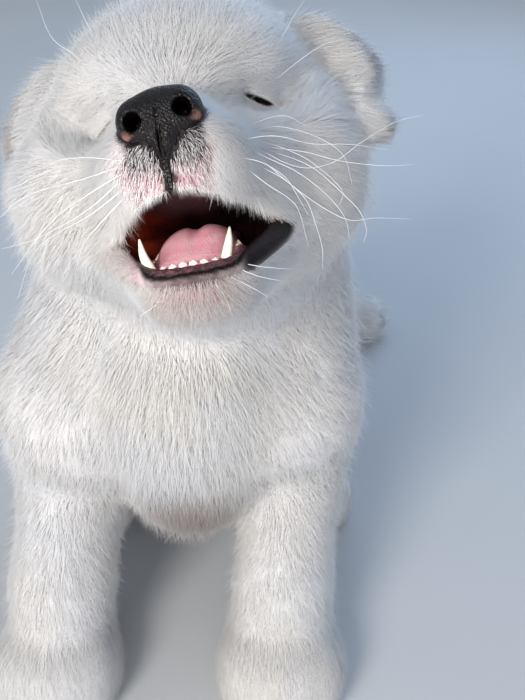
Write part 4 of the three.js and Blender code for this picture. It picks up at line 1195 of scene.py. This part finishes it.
# Roots lie on the skin, closer where the tufts are small, and none on lips, lids, sole or inside the mouth.
corners = skin_points[skin_quads]
corners = corners[from_slit(to_head(corners.mean(1))) > LID_REACH - 1]
corners = np.concatenate([corners] + lid_corners)
middle = corners.mean(1)
area = length(np.cross(corners[:, 2] - corners[:, 0], corners[:, 3] - corners[:, 1])) / 2
_, coat_there, _, place_there = feel(middle)
face = to_head(middle)
upper = to_curve(face, UPPER_LIP) - UPPER_LIP_THICK
lower = to_curve(face, LOWER_LIP) - LOWER_LIP_THICK
blush, pigment, _, corner = markings(face)
over_upper = np.maximum(smoothstep(upper, -0.6, 0.6), np.abs(face[:, 0]) < 33)
over_lower = np.maximum(smoothstep(lower, 0, 1), (face[:, 0] < -13) * smoothstep(lower, -0.8, 0.6))
haired = over_upper * over_lower * smoothstep(mouth(face), 1.0, 2.2) * smoothstep(nose_hull(face), 0, 0.6)
haired *= (1 - 0.3 * blush) * (1 - 0.35 * pigment * (face[:, 2] < -24)) * (1 - corner)
lid_gap = slit_gap(face)
haired *= np.where(face[:, 0] > 0, smoothstep(lid_gap, 0.9, 1.6), smoothstep(lid_gap, 0.4, 0.8))
density = np.where(within(face, THIN_HAIR), haired, 1) * (middle[:, 2] > SOLE + 0.3)
density = density * area / (tuft_length(coat_there) * tuft_width(coat_there))
for name, (count, width) in TUFTS.items():
    share = np.cumsum(density * (place_there == PLACES.index(name)))
    picks = np.searchsorted(share, (np.arange(count) + random.random(count)) / count * share[-1])
    a, b = random.random((2, count, 1))
    q = corners[picks]
    roots = (q[:, 0] * (1 - a) + q[:, 1] * a) * (1 - b) + (q[:, 3] * (1 - a) + q[:, 2] * a) * b
    roots = roots[random.permutation(count)]
    coat_piece(name, *comb(roots), width)


# The camera stands where the photograph was taken from: above the puppy, looking down along +Y.
CAMERA_AT = (27, -243, 405)
CAMERA_DOWN = 40  # degrees below level
FOCAL = 900 / 700  # focal length in heights of the picture
lens = bpy.data.cameras.new("camera")
lens.sensor_width = 36
lens.lens = 36 * FOCAL
camera = bpy.data.objects.new("camera", lens)
camera.location = to_scene(CAMERA_AT)
camera.rotation_euler = (math.radians(90 - CAMERA_DOWN), 0, 0)
bpy.context.scene.collection.objects.link(camera)
bpy.context.scene.camera = camera


# Soft light. The key is in front of the animal, on its right and above. A low front light reaches the chest
# and a narrow spot the mouth, a weak fill stands on its left, and a pale blue rim light behind it.
def light(name, at, aim, size, power, tint, cone=0):
    lamp = bpy.data.lights.new(name, "SPOT" if cone else "AREA")
    if cone:
        lamp.spot_size, lamp.spot_blend, lamp.shadow_soft_size = math.radians(cone), 1, size / 2
    else:
        lamp.shape, lamp.size = "DISK", size
    lamp.energy = power
    lamp.color = colour(tint)[:3]
    made = bpy.data.objects.new(name, lamp)
    made.location = to_scene(at)
    made.rotation_euler = Vector(to_scene(aim) - to_scene(at)).to_track_quat("-Z", "Y").to_euler()
    bpy.context.scene.collection.objects.link(made)


# Name, place, what it is aimed at, size in metres, watts, colour, and degrees of a spot's cone.
LIGHTS = (
    ("key", (-600, -1000, 900), (0, 20, 190), 0.6, 14.5, "FFFAF4"),
    ("front", (50, -900, 120), (0, 20, 110), 0.6, 2.1, "FFFAF4"),
    ("glow", (-135, -690, 740), (5, -2, 249), 0.02, 34, "FFF6F0", 3.6),
    ("fill", (700, -300, 420), (0, 60, 180), 0.9, 0.3, "DCE8FF"),
    ("rim", (300, 700, 600), (0, 100, 180), 0.7, 3, "B4D4F8"),
)
for lamp in LIGHTS:
    light(*lamp)
world = bpy.data.worlds.new("studio")
world.use_nodes = True
world.node_tree.nodes["Background"].inputs["Color"].default_value = colour("DCE8F8")
world.node_tree.nodes["Background"].inputs["Strength"].default_value = 0.5
bpy.context.scene.world = world
bpy.context.scene.view_settings.view_transform = "Standard"

# A plain pale floor.
FLOOR_REACH = 6000  # from its middle to each edge
floor_corners = [(x * FLOOR_REACH, y * FLOOR_REACH, 0) for x, y in ((-1, -1), (1, -1), (1, 1), (-1, 1))]
floor_mesh = bpy.data.meshes.new("floor")
floor_mesh.from_pydata([tuple(to_scene(corner)) for corner in floor_corners], [], [(0, 1, 2, 3)])
floor_mesh.materials.append(PAPER)
floor = bpy.data.objects.new("floor", floor_mesh)
bpy.context.scene.collection.objects.link(floor)
